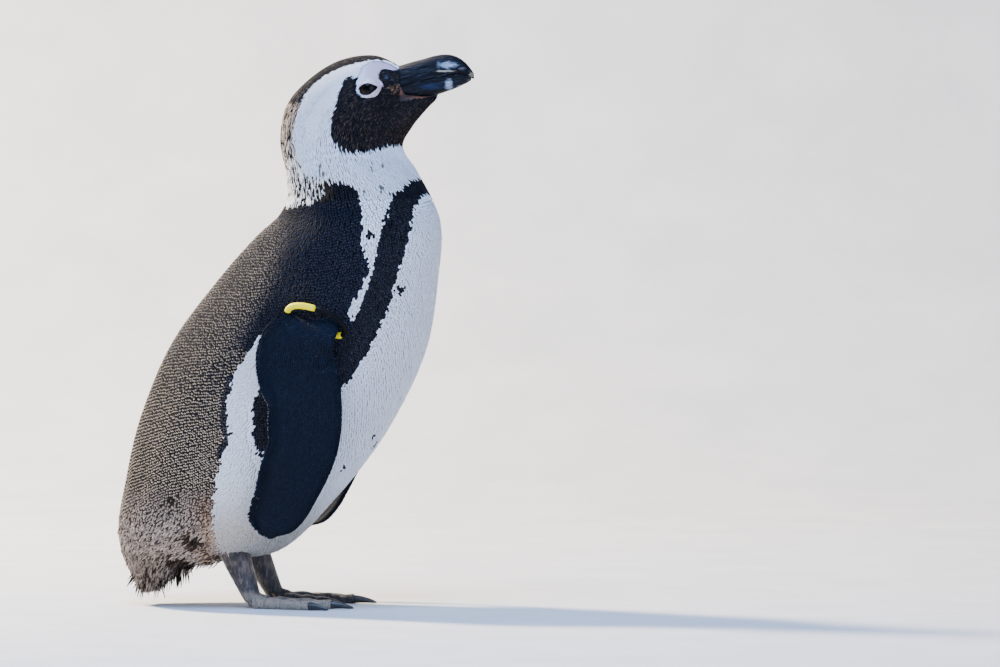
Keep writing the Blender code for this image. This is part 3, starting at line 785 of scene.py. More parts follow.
def foot_colour(mesh, side):
    """Blue-black, pinkish at the ankle, the outer toe pale with painted sunlight, cream down the rear edge.
    """
    sign = SIDES[side]
    points, normals = vectors_of(mesh, "co") / MM, vectors_of(mesh, "normal")
    colour = np.tile(rgb("121317"), (len(points), 1))
    x, y, z = points.T
    broad, fine = grain((x - y) / 6.5, z / 8 + y / 9, 31), grain((x + 0.7 * y) / 2.0, z / 4.5, 32)
    wave = 0.4 * broad + 0.6 * fine - 0.5

    def blend(amount, code):
        nonlocal colour
        colour = blended(colour, rgb(code), np.clip(amount, 0, 1)[:, None])

    shank = ease(z, 9, 16)
    blend(shank * ease(-normals[:, 0] + 1.6 * wave, 0.0, 0.9) * 0.6, "544b46")
    blend(shank * ease(wave, -0.1, 0.4) * ease(z, 16, 34) * 0.5, "94796d")
    blend(shank * ease(-normals[:, 0] - 0.3 * normals[:, 2] + 0.4 * wave, 0.74, 0.95) * 0.9, "e0d2b4")
    # Painted sunlight: the outer side of the toes is made pale
    blend((1 - shank) * ease(y * sign + 8 * wave, LEG_Y - 2, LEG_Y + 7) * (0.6 + 0.4 * fine), "bcab94")
    blend((1 - shank) * ease(fine, 0.6, 0.95) * 0.4, "121217")
    blend((1 - shank) * ease(-normals[:, 0], 0.3, 0.8) * 0.7, "b49a6a")
    return colour


def make_skin():
    places = body_places()
    angles = np.linspace(-math.pi, math.pi, BODY_SIDES, endpoint=False)
    body = under_feathers(places[:, None], angles[None, :])
    blades = []
    for side in SIDES:
        reach = np.linspace(0, FLIPPER_TIP, FLIPPER_RINGS)
        turns = np.linspace(0, math.tau, FLIPPER_SIDES, endpoint=False)
        blades.append(flipper(side, FLIPPER_INSET)(reach[:, None], turns[None, :]))
    skin = lofts("skin", [body, *blades], SKIN)
    colours = skin_colour(vectors_of(skin.data, "co") / MM)
    first = body.reshape(-1, 3).shape[0]
    colours[first:] = rgb("1c1d22")
    colour_layer(skin.data, colours)
    feet = []
    for side in SIDES:
        foot = make_foot(side)
        foot.data.materials.clear()
        foot.data.materials.append(SCALES)
        colour_layer(foot.data, foot_colour(foot.data, side))
        foot.data.shade_smooth()
        feet.append(foot)
    return join(skin, feet)


SKIN, SCALES = skin_material(), scaly_material()
skin = make_skin()
print("skin:", len(skin.data.vertices), "vertices,", triangles(skin), "triangles")

# %% [markdown]
# ## Rows of feathers
#
# Feathers grow in rows. `lay_rows` walks over a surface from the head end, counts rows by the
# distance covered, and sets feathers along each row at even distances, every other row shifted by
# half a feather. Each feather reaches from its root on the skin to its tip on the plumage outline.

# %% Roots and tips
RNG = np.random.default_rng(7)
ROW_JITTER = 0.17  # how far a feather strays along its row, as a share of its width
BODY_GRID, FLIPPER_GRID = (900, 260), (420, 361)  # steps along and round while rows are counted


def lay_rows(surface, places, angles, gap, width, level=None, climb=None):
    """Places, angles, gaps and flat coordinates of roots in staggered rows.

    A row runs square to the body where the count starts, at the place `level`. `climb` says
    by how many rows it rises towards the front.
    """
    grid = surface(places[:, None], angles[None, :])
    middle = (places[1:] + places[:-1])[:, None] / 2
    step = np.linalg.norm(np.diff(grid, axis=0), axis=-1)
    count = np.vstack([np.zeros(len(angles)), np.cumsum(step / gap(middle, angles[None, :]), axis=0)])
    if level is not None:
        count = count - count[np.argmin(np.abs(places - level))]
        count = count + climb(places[:, None], angles[None, :])
    rows = np.arange(math.floor(count.min()) + 0.5, count.max(), 1.0)
    order = np.sign(places[-1] - places[0])
    laid = np.stack(
        [np.interp(rows, count[:, j], places * order) * order for j in range(len(angles))], axis=1
    )
    line = surface(laid, angles[None, :])
    found = []
    for i, row in enumerate(rows):
        gaps = gap(laid[i], angles)
        sides = np.linalg.norm(np.diff(line[i], axis=0), axis=-1)
        along = np.append(0.0, np.cumsum(sides))
        apart = width(laid[i], angles) * gaps
        number = np.append(0.0, np.cumsum(sides / ((apart[1:] + apart[:-1]) / 2)))
        spots = np.arange(0.5 if i % 2 else 1e-6, number[-1], 1.0)
        spots = spots + RNG.uniform(-ROW_JITTER, ROW_JITTER, len(spots))
        angle = np.interp(spots, number, angles)
        place = np.interp(angle, angles, laid[i])
        keep = (np.interp(angle, angles, count[-1]) > row) & (np.interp(angle, angles, count[0]) < row)
        flat = np.column_stack([np.interp(spots, number, along), np.full(len(spots), row * gaps.mean())])
        found.append(np.column_stack([place, angle, np.interp(angle, angles, gaps), flat])[keep])
    return np.vstack(found)


def nape_share(place, angle):
    """1 on the back of the neck, where the feathers are narrow streaks."""
    return ease(place, 8.9, 9.4) * ease(place, 13.2, 12.2) * ease(np.abs(angle), 1.75, 2.05)


BODY_GAPS = ([0, 1.6, 2.8, 9.0, 10.2, 11.2, 12.4, 15.0], [2.2, 2.3, 3.0, 3.1, 2.25, 1.75, 1.4, 1.15])


def body_gap(place, angle):
    """Distance between rows on the body: coarse on the back, finer in front, finest on the face."""
    along = np.interp(place, *BODY_GAPS)
    front = 0.26 - 0.05 * ease(place, 3.0, 4.0) * ease(place, 7.5, 6.0)
    return along * (1 - front * ease(np.abs(angle), 1.5, 0.7)) * (1 - 0.12 * nape_share(place, angle))


def body_width(place, angle):
    """Distance between feathers in a row, as a share of the distance between rows."""
    back = ease(np.abs(angle), 0.8, 1.3) * ease(place, 9.3, 8.7)
    neck = 0.16 * ease(place, 8.6, 9.2) * ease(place, 11.4, 10.8) * (1 - nape_share(place, angle))
    behind = np.maximum(0.43 * ease(place, 3.0, 2.0), 0.34 * back)
    return 0.95 - neck - behind - 0.42 * nape_share(place, angle)


def body_climb(place, angle):
    """Rows rise towards the front, and waver."""
    rise = np.interp(place, [1.0, 5.0, 9.4], [36.0, 34.0, 16.0]) * (1 + np.cos(angle)) / 2
    return rise + 1.1 * grain(angle * 6.0, place * 1.2, 21)


LEVEL_ROW = 9.4  # the place on the neck where the rows run level round it


def body_roots():
    """Roots over both sides of the body, in order of place, angle, gap and flat coordinates."""
    places = np.linspace(14.97, TAIL_START + 0.12, BODY_GRID[0])
    angles = np.linspace(0, math.pi, BODY_GRID[1])
    both = []
    for side in SIDES.values():
        half = lay_rows(plumage, places, angles, body_gap, body_width, LEVEL_ROW, body_climb)
        half[:, 1] *= side
        half[:, 3] *= side
        both.append(half)
    return np.vstack(both)


class Coat:
    """Arrays that describe feathers: roots, tips, normals, widths, colours and flat places."""

    def __init__(self, **arrays):
        self.__dict__.update(arrays)

    def only(self, keep):
        return Coat(**{key: value[keep] for key, value in self.__dict__.items()})

    def __len__(self):
        return len(self.root)


def body_coat(length=2.35):
    laid = body_roots()
    shift = RNG.normal(0, 0.05, len(laid)) * laid[:, 2] * 0.033
    laid[:, 0] = np.clip(laid[:, 0] + shift, TAIL_START, 14.98)
    place, angle, gap = laid[:, 0], laid[:, 1], laid[:, 2]
    outer, normal, headward = frame_at(plumage, place, angle)
    pace = np.linalg.norm(plumage(place + 0.02, angle) - plumage(place - 0.02, angle), axis=1) / 0.04
    fluff = ease(outer[:, 2], 112, 42) * ease(outer[:, 0], -44, -66)
    nape = nape_share(place, angle)
    hairy = np.maximum(ease(place, 9.4, 11.0), fluff)
    white = marking(outer) == WHITE
    even = 0.02 + 0.1 * np.maximum(hairy, 0.7 * ease(outer[:, 2], 170, 250))
    reach = gap * (length + 1.1 * hairy + 0.9 * fluff + 1.0 * nape + 0.5 * white)
    reach = reach * (1 + even * RNG.uniform(-1, 1, len(gap)))
    tip_place = np.clip(place - reach / pace, 0.02, 15.0)
    tip = plumage(tip_place, angle)
    under = ease(outer[:, 2], 52, 36) * ease(np.abs(angle), 1.9, 1.2)
    stick = RNG.exponential(0.3 + 1.1 * under, len(gap)) * fluff
    stick = stick + 0.35 * RNG.random(len(gap)) * ease(outer[:, 2], 60, 45)
    sink = RNG.uniform(0.0, 0.12, len(gap)) * gap - stick
    tip = tip - normal * sink[:, None]
    sideways = unit(np.cross(normal, headward))
    tip = tip + sideways * (RNG.normal(0, 0.1 + 0.35 * fluff + 0.06 * hairy, len(gap)) * gap)[:, None]
    tip[:, 2] = np.maximum(tip[:, 2], 3.0 + 7.0 * ease(place, 1.3, 0.5))
    root = under_feathers(place, angle)
    normal = unit(normal + RNG.normal(0, 0.07, normal.shape))
    head = ease(place, 9.4, 11.0)
    wide = 1.45 * body_width(place, angle) - 0.42 * head * (1 - 0.6 * nape) - 0.33 * fluff
    deep = 1.0 - 0.7 * white * (1 - 0.5 * hairy) - 0.25 * fluff
    return Coat(
        root=root, tip=tip, normal=normal, gap=gap, place=place, angle=angle, flat=laid[:, 3:5],
        fluff=fluff, wide=wide,
        deep=deep,
    )


def bare(point):
    return bare_face(point) | (eye_offsets(point)[2] <= 1.0)


body = body_coat()
# Feathers that lie towards bare skin are short, so that they end at its edge
short = bare(body.tip) & ~bare(body.root)
body.tip[short] = (body.root + (body.tip - body.root) * 0.5)[short]
print("body feathers:", len(body), "on the left:", (body.angle > 0).sum(), "short:", short.sum())

# %% [markdown]
# ## Feather colours
#
# Each feather has a colour and a tip colour. The back has pale dashes at its tips, which fade out on
# the shoulder and along the border with the white. The nape is streaked with cream.

# %% Colour each feather
# Heights on the shoulder, and how far ahead the back's pale dashes reach there
SHOULDER_EDGE = (
    [205.0, 212.8, 224.8, 235.2, 252.8, 275.2, 299.2, 308.0], [-48, -44, -38, -31, -22, -15, -9, -10]
)
COLLAR_EDGE = 317.0


def shaken(count, spread):
    """Factors round 1, one to each feather."""
    return np.exp(RNG.normal(0, spread, count))[:, None]


def colour_back(coat):
    """Pale dashes at the tips, which fade towards the shoulder and along the white border."""
    along, height, count = coat.along, coat.height, len(coat)
    edge = np.interp(height, *SHOULDER_EDGE)
    dash = 1 - 0.93 * ease(along, edge - 12, edge + 10) * ((height > 205) | (along > 0))
    border = near_line([(x, z, 4.5) for x, z in DARK_BACK if x < -40 and 105 < z < 190], along, height)
    dash = np.where(border, dash * 0.15, dash)
    dash = np.where((height > 309) & (height < COLLAR_EDGE), dash * 0.12, dash)
    dash = dash * np.clip(RNG.normal(1, 0.2, count), 0.3, 1.4)
    dash = dash * np.where(RNG.random(count) < 0.1 * (height > 170), 0.3, 1.0)
    # Painted light: the dashes are brighter low on the back and dimmer high up
    dash = dash * np.interp(height, [90, 150, 210, 300], [1.45, 1.34, 0.92, 0.68])
    plain = (1 - np.clip(dash, 0, 1.6))[:, None]
    back = coat.kind == BACK
    coat.vane[back] = blended(coat.vane, rgb("0e1016"), plain)[back]
    coat.end[back] = blended(coat.end, rgb("1a2740"), plain)[back]


def colour_nape(coat):
    """Streaks of dark and cream that run down the neck, several feathers long, creamier below."""
    along, height, kind, count = coat.along, coat.height, coat.kind, len(coat)
    streak = 0.65 * grain(np.abs(coat.angle) * 38 / 0.6, coat.place * 30 / 4.0, 3) + 0.35 * RNG.random(count)
    low = ease(height, 376, 345)
    rare = 0.3 * ease(along, 10, 30)
    pale = ease(streak, 0.46 - 0.05 * low + rare, 0.52 - 0.05 * low + rare)[:, None]
    nape = (kind == NAPE) | ((kind == BACK) & (height >= COLLAR_EDGE + 0.2 * along) & (along < 30))
    cream = blended(rgb("c0ae98"), rgb("fdf6e8"), low[:, None])
    coat.end[nape] = blended(rgb("2e2823"), cream, pale)[nape]
    coat.vane[nape] = blended(rgb("1c1918"), cream * 0.8, pale)[nape]
    coat.start[nape] = RNG.uniform(0.3, 0.8, count)[nape]
    # Painted highlights: paler brown tips on some feathers of the crown
    crown = (kind == BLACK) & (along < 14) & (height > 380) & (streak > 0.72 - 0.2 * ease(along, 12, 0))
    coat.end[crown] = rgb("5f554a")
    coat.start[crown] = RNG.uniform(0.6, 0.9, count)[crown]


def colour_rump(coat):
    """Browner and unkempt, with a reddish fringe by the white, and painted shade round the vent and under
    the rump.
    """
    along, height, count = coat.along, coat.height, len(coat)
    rump = coat.kind == RUMP
    coat.start[rump] = (0.84 - 0.4 * coat.fluff * RNG.random(count))[rump]
    loose = (coat.fluff * rump)[:, None]
    vane = blended(coat.vane, rgb("4a3e36"), 0.6 * loose)
    tone = np.where(RNG.random(count) < 0.4, 0.6, 1.2)
    tone = (tone * (1 + 0.2 * RNG.normal(0, 1, count)))[:, None]
    end = coat.end * (1 + loose * (np.clip(tone, 0.3, 1.7) - 1))
    brown = hill(along, height, -71, 58, 11, 32) * rump * (0.4 + 1.1 * grain(along / 5, height / 9, 5))
    brown = np.clip(brown, 0, 0.9)[:, None]
    end = blended(end, rgb("a58b75") * np.clip(tone, 0.5, 1.4), brown)
    vane = blended(vane, rgb("4a372b"), brown)
    # Painted shade: darker feathers round the vent and low under the rump
    hollow_shade = hill(along + (height - 50) * 0.35, height, -84, 49, 10, 9)
    hollow_shade = np.maximum(hollow_shade, 0.62 * hill(along, height, -99, 80, 6, 20))
    hollow_shade = np.maximum(hollow_shade, 0.9 * hill(along, height, -95, 31, 13, 6))
    hollow_shade = hollow_shade * (0.35 + 1.3 * grain(along / 1.7, height / 7, 8))
    vent = (hollow_shade + RNG.normal(0, 0.12, count) > 0.52) & rump
    end[vent] = (rgb("2c2521") + rgb("5a4c40") * (RNG.random(count) < 0.2)[:, None])[vent]
    vane[vent] = rgb("14110f")
    coat.vane, coat.end = vane, end


def colour_face(coat):
    """Browner throat and lores, painted brown highlights, a rusty edge to the gape and three glints by the
    eye.
    """
    along, height, count = coat.along, coat.height, len(coat)
    throat = (coat.kind == BLACK) & (height > 362) & (along > 50)
    warm = ease(along, 50, 88) * ease(height, 425, 395) * throat * (0.4 + 0.6 * RNG.random(count))
    end = blended(coat.end, rgb("4b3d32"), warm[:, None])
    # Painted highlights: lighter brown tips on some black feathers of the head, more of them lower down
    brown_highlight = RNG.random(count) < 0.3 + 0.3 * ease(height, 410, 375)
    brown_highlight = brown_highlight & (coat.kind == BLACK) & (height > 358) & (along > NAPE_FRONT)
    end[brown_highlight] = blended(rgb("221e1e"), rgb("473d36"), RNG.random(count)[:, None])[brown_highlight]
    coat.start[brown_highlight] = RNG.uniform(0.3, 0.8, count)[brown_highlight]
    rust = hill(along, height, 79.5, 412.0, 8.0, 5.5) * (0.2 + grain(along / 2.6, height / 2.2, 11)) > 0.42
    rust = rust & throat
    end[rust] = blended(rgb("2b2019"), rgb("8d7059"), RNG.random(count)[:, None] ** 2)[rust]
    coat.start[rust] = 0.5
    for x, z, reach in ((70.7, 422.9, 0.9), (71.3, 421.8, 0.8), (75.4, 420.6, 0.5)):
        glint = (np.hypot(along - x, height - z) < reach) & (height > CROWN_EDGE)
        end[glint] = coat.vane[glint] = rgb("3a4659")
    coat.end = end


def colour_white(coat):
    """A few dark streaks on the neck, and the belly darker and warmer towards the bottom."""
    along, height, white = coat.along, coat.height, coat.kind == WHITE
    stray = white & (height > 322) & (height < 360) & (along > 14) & (along < 75)
    stray = stray & (grain(along / 1.5, height / 9, 14) > 0.93)
    coat.vane[stray] = coat.end[stray] = rgb("6d6d70")
    # The white gets darker and warmer towards the bottom of the belly
    darker_below = (white * ease(height, 104, 50) * (0.65 + 0.35 * RNG.random(len(coat))))[:, None]
    coat.vane = coat.vane * (1 - darker_below * (0.5, 0.55, 0.64))
    coat.end = coat.end * (1 - darker_below * (0.42, 0.48, 0.58))


def colour_body(coat):
    """Sets the colours of each vane and its tip, and where along the vane the tip's colour starts."""
    count = len(coat)
    # Asking a little before or beyond the tip, along the lie, gives ragged borders
    lie = unit(coat.tip - coat.root)
    probe = coat.tip + lie * (RNG.normal(0, 0.75, count) * coat.gap)[:, None]
    coat.kind = marking(probe + RNG.normal(0, 0.3, coat.tip.shape))
    coat.along, coat.height = side_view(coat.tip)
    blacken_by_bill(coat.kind, coat.along, coat.height)
    coat.vane, coat.end = kind_colour(coat.kind, 0), kind_colour(coat.kind, 1)
    coat.start = np.full(count, 0.85)
    for colour_part in (colour_back, colour_nape, colour_rump, colour_face, colour_white):
        colour_part(coat)
    shade = RNG.normal(0, 0.1, count) + 0.25 * (coat.kind == BLACK) * RNG.normal(0, 1, count)
    shade = np.exp(shade)[:, None]
    shade = np.where((coat.kind == WHITE)[:, None], np.minimum(shade, 1.0) ** 0.4, shade)
    coat.vane, coat.end = np.clip(coat.vane * shade, 0, 0.95), np.clip(coat.end * shade, 0, 0.95)


def bill_clear(points):
    """Clear of the bill and of the bare skin round its root, with an uneven edge."""
    loose = np.abs(RNG.normal(0, 0.9, len(points)))
    lower_edge = 405.4 + 0.12 * (points[:, 0] - 88)
    return ~((points[:, 0] - loose > 85.6) & (points[:, 2] - 0.6 * loose > lower_edge))


colour_body(body)
body = body.only(~bare(body.tip) & ~bare_face(body.root) & bill_clear(body.root) & bill_clear(body.tip))
print("after clearing the eyes and bill:", len(body))

# %% [markdown]
# ## One vane, many times
#
# A vane is a thin closed leaf with a ridge down its middle. Its attribute `leaf` says how far along
# and across each point is. A Geometry Nodes tree sets one vane on each root, turned along the lie
# and scaled, then makes the instances real and gives each its own small patch of the bake map.

# %% Vane and node tree


def make_vane(name, rows, thick=0.07):
    """A leaf along +X, 1 long and 1 wide at its widest. Rows are place, half width and height."""
    vertices, leaf, faces = [], [], []
    for x, half, z in rows[:-1]:
        vertices += [(x, -half, z - 0.045), (x, 0, z + thick / 2), (x, half, z - 0.045)]
        leaf += [(x, -1, 0), (x, 0, 0), (x, 1, 0)]
    x, half, z = rows[-1]
    vertices.append((x, 0, z - 0.02))
    leaf.append((x, 0, 0))
    for i in range(len(rows) - 2):
        a, b = 3 * i, 3 * i + 3
        faces += [(a, a + 1, b + 1, b), (a + 1, a + 2, b + 2, b + 1), (a + 2, a, b, b + 2)]
    a = 3 * (len(rows) - 2)
    faces += [(a, a + 1, a + 3), (a + 1, a + 2, a + 3), (a + 2, a, a + 3), (2, 1, 0)]
    mesh = mesh_from(name, np.array(vertices) / MM, faces)
    outward(mesh)
    layer = mesh.attributes.new("leaf", "FLOAT_VECTOR", "POINT")
    layer.data.foreach_set("vector", np.array(leaf, np.float32).ravel())
    return add_object(name, mesh)


FRONT_VANE = [(0.0, 0.2, 0.0), (0.62, 0.5, 0.11), (0.9, 0.36, 0.03), (1.0, 0.0, 0.0)]
HAIR_VANE = [(0.0, 0.25, 0.0), (0.5, 0.5, 0.11), (0.82, 0.3, 0.05), (1.0, 0.0, 0.0)]
SCALE_VANE = [(0.0, 0.3, 0.0), (0.55, 0.5, 0.12), (0.88, 0.36, 0.04), (1.0, 0.0, 0.0)]
BAKE_PATCH = (0.003, 0.0015, 0.0)  # a vane's length and half width on the bake map
BAKE_MARGIN, BAKE_WIDTH = 0.004, 0.99


def coat_tree():
    """Points with lie, normal, size, root_uv and colours in; a coat of real vanes out."""
    tree = bpy.data.node_groups.new("coat", "GeometryNodeTree")
    for way, name, kind in (
        ("INPUT", "Geometry", "Geometry"), ("INPUT", "Vane", "Object"), ("INPUT", "Finish", "Material"),
        ("OUTPUT", "Geometry", "Geometry"),
    ):
        tree.interface.new_socket(name, in_out=way, socket_type="NodeSocket" + kind)
    given, out = tree.nodes.new("NodeGroupInput"), tree.nodes.new("NodeGroupOutput")

    def named(name):
        node = add_node(tree, "GeometryNodeInputNamedAttribute", {"data_type": "FLOAT_VECTOR"}, Name=name)
        return node.outputs["Attribute"]

    points = add_node(tree, "GeometryNodeMeshToPoints", Mesh=given.outputs["Geometry"])
    vane = add_node(tree, "GeometryNodeObjectInfo", Object=given.outputs["Vane"])
    turn = add_node(
        tree, "FunctionNodeAxesToRotation", {"primary_axis": "X", "secondary_axis": "Z"},
        i0=named("lie"), i1=named("normal"),
    )
    laid = add_node(
        tree, "GeometryNodeInstanceOnPoints", Points=points.outputs[0], Instance=vane.outputs["Geometry"],
        Rotation=turn.outputs[0], Scale=named("size"),
    )
    real = add_node(tree, "GeometryNodeRealizeInstances", Geometry=laid.outputs[0])
    patch = vector_math(tree, "MULTIPLY", named("leaf"), BAKE_PATCH)
    place = vector_math(tree, "ADD", named("root_uv"), patch)
    stored = add_node(
        tree, "GeometryNodeStoreNamedAttribute", {"data_type": "FLOAT2", "domain": "CORNER"},
        Geometry=real.outputs[0], Name="OFBake", Value=place,
    )
    smooth = add_node(tree, "GeometryNodeSetShadeSmooth", Geometry=stored.outputs[0])
    finish = given.outputs["Finish"]
    dressed = add_node(tree, "GeometryNodeSetMaterial", Geometry=smooth.outputs[0], Material=finish)
    tree.links.new(dressed.outputs[0], out.inputs["Geometry"])
    return tree


def set_inputs(modifier, **values):
    """Sets modifier inputs by their socket's name."""
    for item in modifier.node_group.interface.items_tree:
        if item.item_type == "SOCKET" and item.in_out == "INPUT" and item.name in values:
            modifier[item.identifier] = values[item.name]


def feather_material(name, roughness=0.7, gloss=0.08):
    """Vanes with fine barbs and a soft tip of another colour. Dark feathers are hardly glossy."""
    made, tree, shader = new_material(name, Roughness=roughness, Specular_IOR_Level=gloss)
    tint, end = attribute(tree, "tint"), attribute(tree, "tip")
    leaf = attribute(tree, "leaf").outputs["Vector"]
    parts = add_node(tree, "ShaderNodeSeparateXYZ", Vector=leaf)
    across = math_node(tree, "ABSOLUTE", parts.outputs["Y"])
    # The tip colour begins at the place kept in the tint's alpha, a little sooner at the sides
    begin = math_node(tree, "SUBTRACT", parts.outputs["X"], tint.outputs["Alpha"])
    begin = math_node(tree, "SUBTRACT", begin, math_node(tree, "MULTIPLY", across, -0.04))
    amount = add_node(tree, "ShaderNodeMapRange", {"interpolation_type": "SMOOTHSTEP"}, Value=begin)
    amount.inputs["From Min"].default_value, amount.inputs["From Max"].default_value = 0.0, 0.09
    colour = mix(tree, amount.outputs[0], tint.outputs["Color"], end.outputs["Color"])
    where = object_space(tree)
    fine = noise(tree, where, 1.8, 3.0, 0.6)
    colour = mix(tree, 0.3, colour, ramp(tree, fine, (0.25, 0.55), (0.75, 1.0)), "MULTIPLY")
    # Barbs cling together in strands that run along the vane and differ from vane to vane
    own = add_node(tree, "ShaderNodeUVMap", {"uv_map": "OFBake"}).outputs[0]
    own = vector_math(tree, "MULTIPLY", own, (70.0, 70.0, 0.0))
    strand = vector_math(tree, "ADD", own, vector_math(tree, "MULTIPLY", leaf, (0.9, 3.4, 0.0)))
    strand = add_node(tree, "ShaderNodeTexNoise", Vector=strand, Scale=1.0, Detail=3.0)
    amount = math_node(tree, "SUBTRACT", 0.58, math_node(tree, "MULTIPLY", tint.outputs["Fac"], 0.4))
    colour = mix(tree, amount, colour, ramp(tree, strand.outputs[0], (0.35, 0.5), (0.6, 1.0)), "MULTIPLY")
    tree.links.new(colour, shader.inputs["Base Color"])
    # Barbs run from the shaft outwards and on towards the tip
    run = math_node(tree, "MULTIPLY", parts.outputs["X"], 60.0)
    run = math_node(tree, "ADD", run, math_node(tree, "MULTIPLY", across, -14.0))
    bump(tree, shader, math_node(tree, "SINE", run), 0.05, 0.35)
    return made


COAT_TREE = coat_tree()
SCALE_LEAF, HAIR_LEAF = make_vane("scale_vane", SCALE_VANE), make_vane("hair_vane", HAIR_VANE)
FRONT_LEAF = make_vane("front_vane", FRONT_VANE)
PLUMAGE = feather_material("body feathers")
print("vane triangles:", triangles(FRONT_LEAF))

# %% [markdown]
# ## Lay the coat
#
# Each piece of coat keeps under two hundred thousand triangles, so the body is divided into regions
# on each side. The regions' edges don't show, since the feathers overlap across them.

# %% Coat pieces


def lay_coat(name, coat, vane, material):
    """One coat piece: a mesh with a vane on each root."""
    mesh = mesh_from(name, coat.root, [])
    lie = coat.tip - coat.root
    length = np.linalg.norm(lie, axis=1)
    size = np.column_stack([length, coat.gap * coat.wide, length * coat.deep]) * MM
    low, high = coat.flat.min(axis=0), coat.flat.max(axis=0)
    flat = BAKE_MARGIN + BAKE_WIDTH * (coat.flat - low) / np.maximum(high - low, 1.0)
    flat = np.column_stack([flat, np.zeros(len(coat))])
    for key, values in (("lie", lie), ("normal", coat.normal), ("size", size), ("root_uv", flat)):
        layer = mesh.attributes.new(key, "FLOAT_VECTOR", "POINT")
        layer.data.foreach_set("vector", values.astype(np.float32).ravel())
    colour_layer(mesh, coat.vane, "tint", coat.start)
    colour_layer(mesh, coat.end, "tip")
    made = add_object(name, mesh)
    modifier = made.modifiers.new("coat", "NODES")
    modifier.node_group = COAT_TREE
    set_inputs(modifier, Vane=vane, Finish=material)
    applied(made)
    for key in ("lie", "normal", "size", "root_uv"):
        layer = made.data.attributes.get(key)
        if layer:
            made.data.attributes.remove(layer)
    print(f"{name}: {len(coat)} feathers, {triangles(made)} triangles")
    return made


REGIONS = {  # place along the body, angle round it, and the vane
    "head": (12.4, 15.0, 0.0, 4.0, HAIR_LEAF),
    "cheek": (11.2, 12.4, 0.0, 4.0, HAIR_LEAF),
    "neck": (9.6, 11.2, 0.0, 4.0, HAIR_LEAF),
    "breast": (6.0, 9.6, 0.0, 1.6, FRONT_LEAF),
    "belly": (2.6, 6.0, 0.0, 1.6, FRONT_LEAF),
    "shoulder": (6.0, 9.6, 1.6, 4.0, FRONT_LEAF),
    "back": (2.6, 6.0, 1.6, 4.0, FRONT_LEAF),
    "rump": (0.0, 2.6, 0.0, 4.0, HAIR_LEAF),
}
coat_pieces = []
for region, (low, high, near, far, leaf) in REGIONS.items():
    for side, sign in SIDES.items():
        turned = body.angle * sign
        keep = (body.place >= low) & (body.place < high) & (turned >= near) & (turned < far)
        coat_pieces.append(lay_coat(f"feathers_{region}_{side}", body.only(keep), leaf, PLUMAGE))

# %% [markdown]
# ## Flipper and tail feathers
#
# Flipper feathers are tiny and stiff like scales, in close rows on both faces, with a saw-toothed
# fringe behind. The inner face is white in the middle. The tail is a broom of narrow stiff quills.

# %% Flipper coat
SCALE_WIDTH = 0.84  # distance between feathers in a row, as a share of the distance between rows


def flipper_axes(outer, place, side):
    """Directions at places on a flipper: to its leading edge, to its tip, and away from the body."""
    ahead = unit(outer(place, 0.0) - outer(place, math.pi))
    beyond = np.minimum(place + 0.05, FLIPPER_TIP)
    tipward = unit(outer(beyond, math.pi / 2) - outer(place - 0.05, math.pi / 2))
    return ahead, tipward, unit(np.cross(tipward, ahead)) * -SIDES[side]


def alike(count, *values):
    """An array to each value, with the value at every feather."""
    return [np.full(count, value) for value in values]


def flipper_coat(side, gap=2.0):
    outer, skin_form = flipper(side), flipper(side, FLIPPER_INSET)

    def even_gap(place, angle):
        return gap * (1.0 - 0.15 * ease(place, 9.0, FLIPPER_TIP)) + 0.0 * angle

    places = np.linspace(1.0, FLIPPER_TIP - 0.03, FLIPPER_GRID[0])
    angles = np.linspace(0, math.tau, FLIPPER_GRID[1])
    laid = lay_rows(outer, places, angles, even_gap, lambda *_: SCALE_WIDTH)
    place, angle, gaps = laid[:, 0], laid[:, 1], laid[:, 2]
    ahead, tipward, away = flipper_axes(outer, place, side)
    # The surface's own normal, rounded over at the two edges
    normal = unit(away * np.sign(np.sin(angle))[:, None] * (1 - np.abs(np.cos(angle))[:, None] ** 6)
                  + ahead * np.sign(np.cos(angle))[:, None] * np.abs(np.cos(angle))[:, None] ** 6)
    beyond = np.minimum(place + 0.02, FLIPPER_TIP)
    pace = np.linalg.norm(outer(beyond, angle) - outer(place - 0.02, angle), axis=1)
    pace = np.maximum(pace / (beyond - place + 0.02), 4.0)
    reach = gaps * 2.2 * RNG.uniform(0.92, 1.08, len(place))
    ahead_of = place + reach / pace
    past_end = np.maximum(ahead_of - FLIPPER_TIP, 0) * pace * np.abs(np.sin(angle)) ** 0.7
    tip = outer(np.minimum(ahead_of, FLIPPER_TIP), angle) + tipward * (1.4 * past_end)[:, None]
    trail = ease(-np.cos(angle), 0.90, 0.995)
    tip = tip - ahead * (trail * 0.35 * gaps)[:, None]
    tip = tip - normal * (RNG.uniform(0, 0.12, len(place)) * gaps)[:, None]
    wide, deep = alike(len(place), 1.2, 0.6)
    return Coat(
        root=skin_form(place, angle), tip=tip, normal=normal, gap=gaps, place=place, angle=angle,
        flat=laid[:, 3:5], wide=wide, deep=deep,
    )


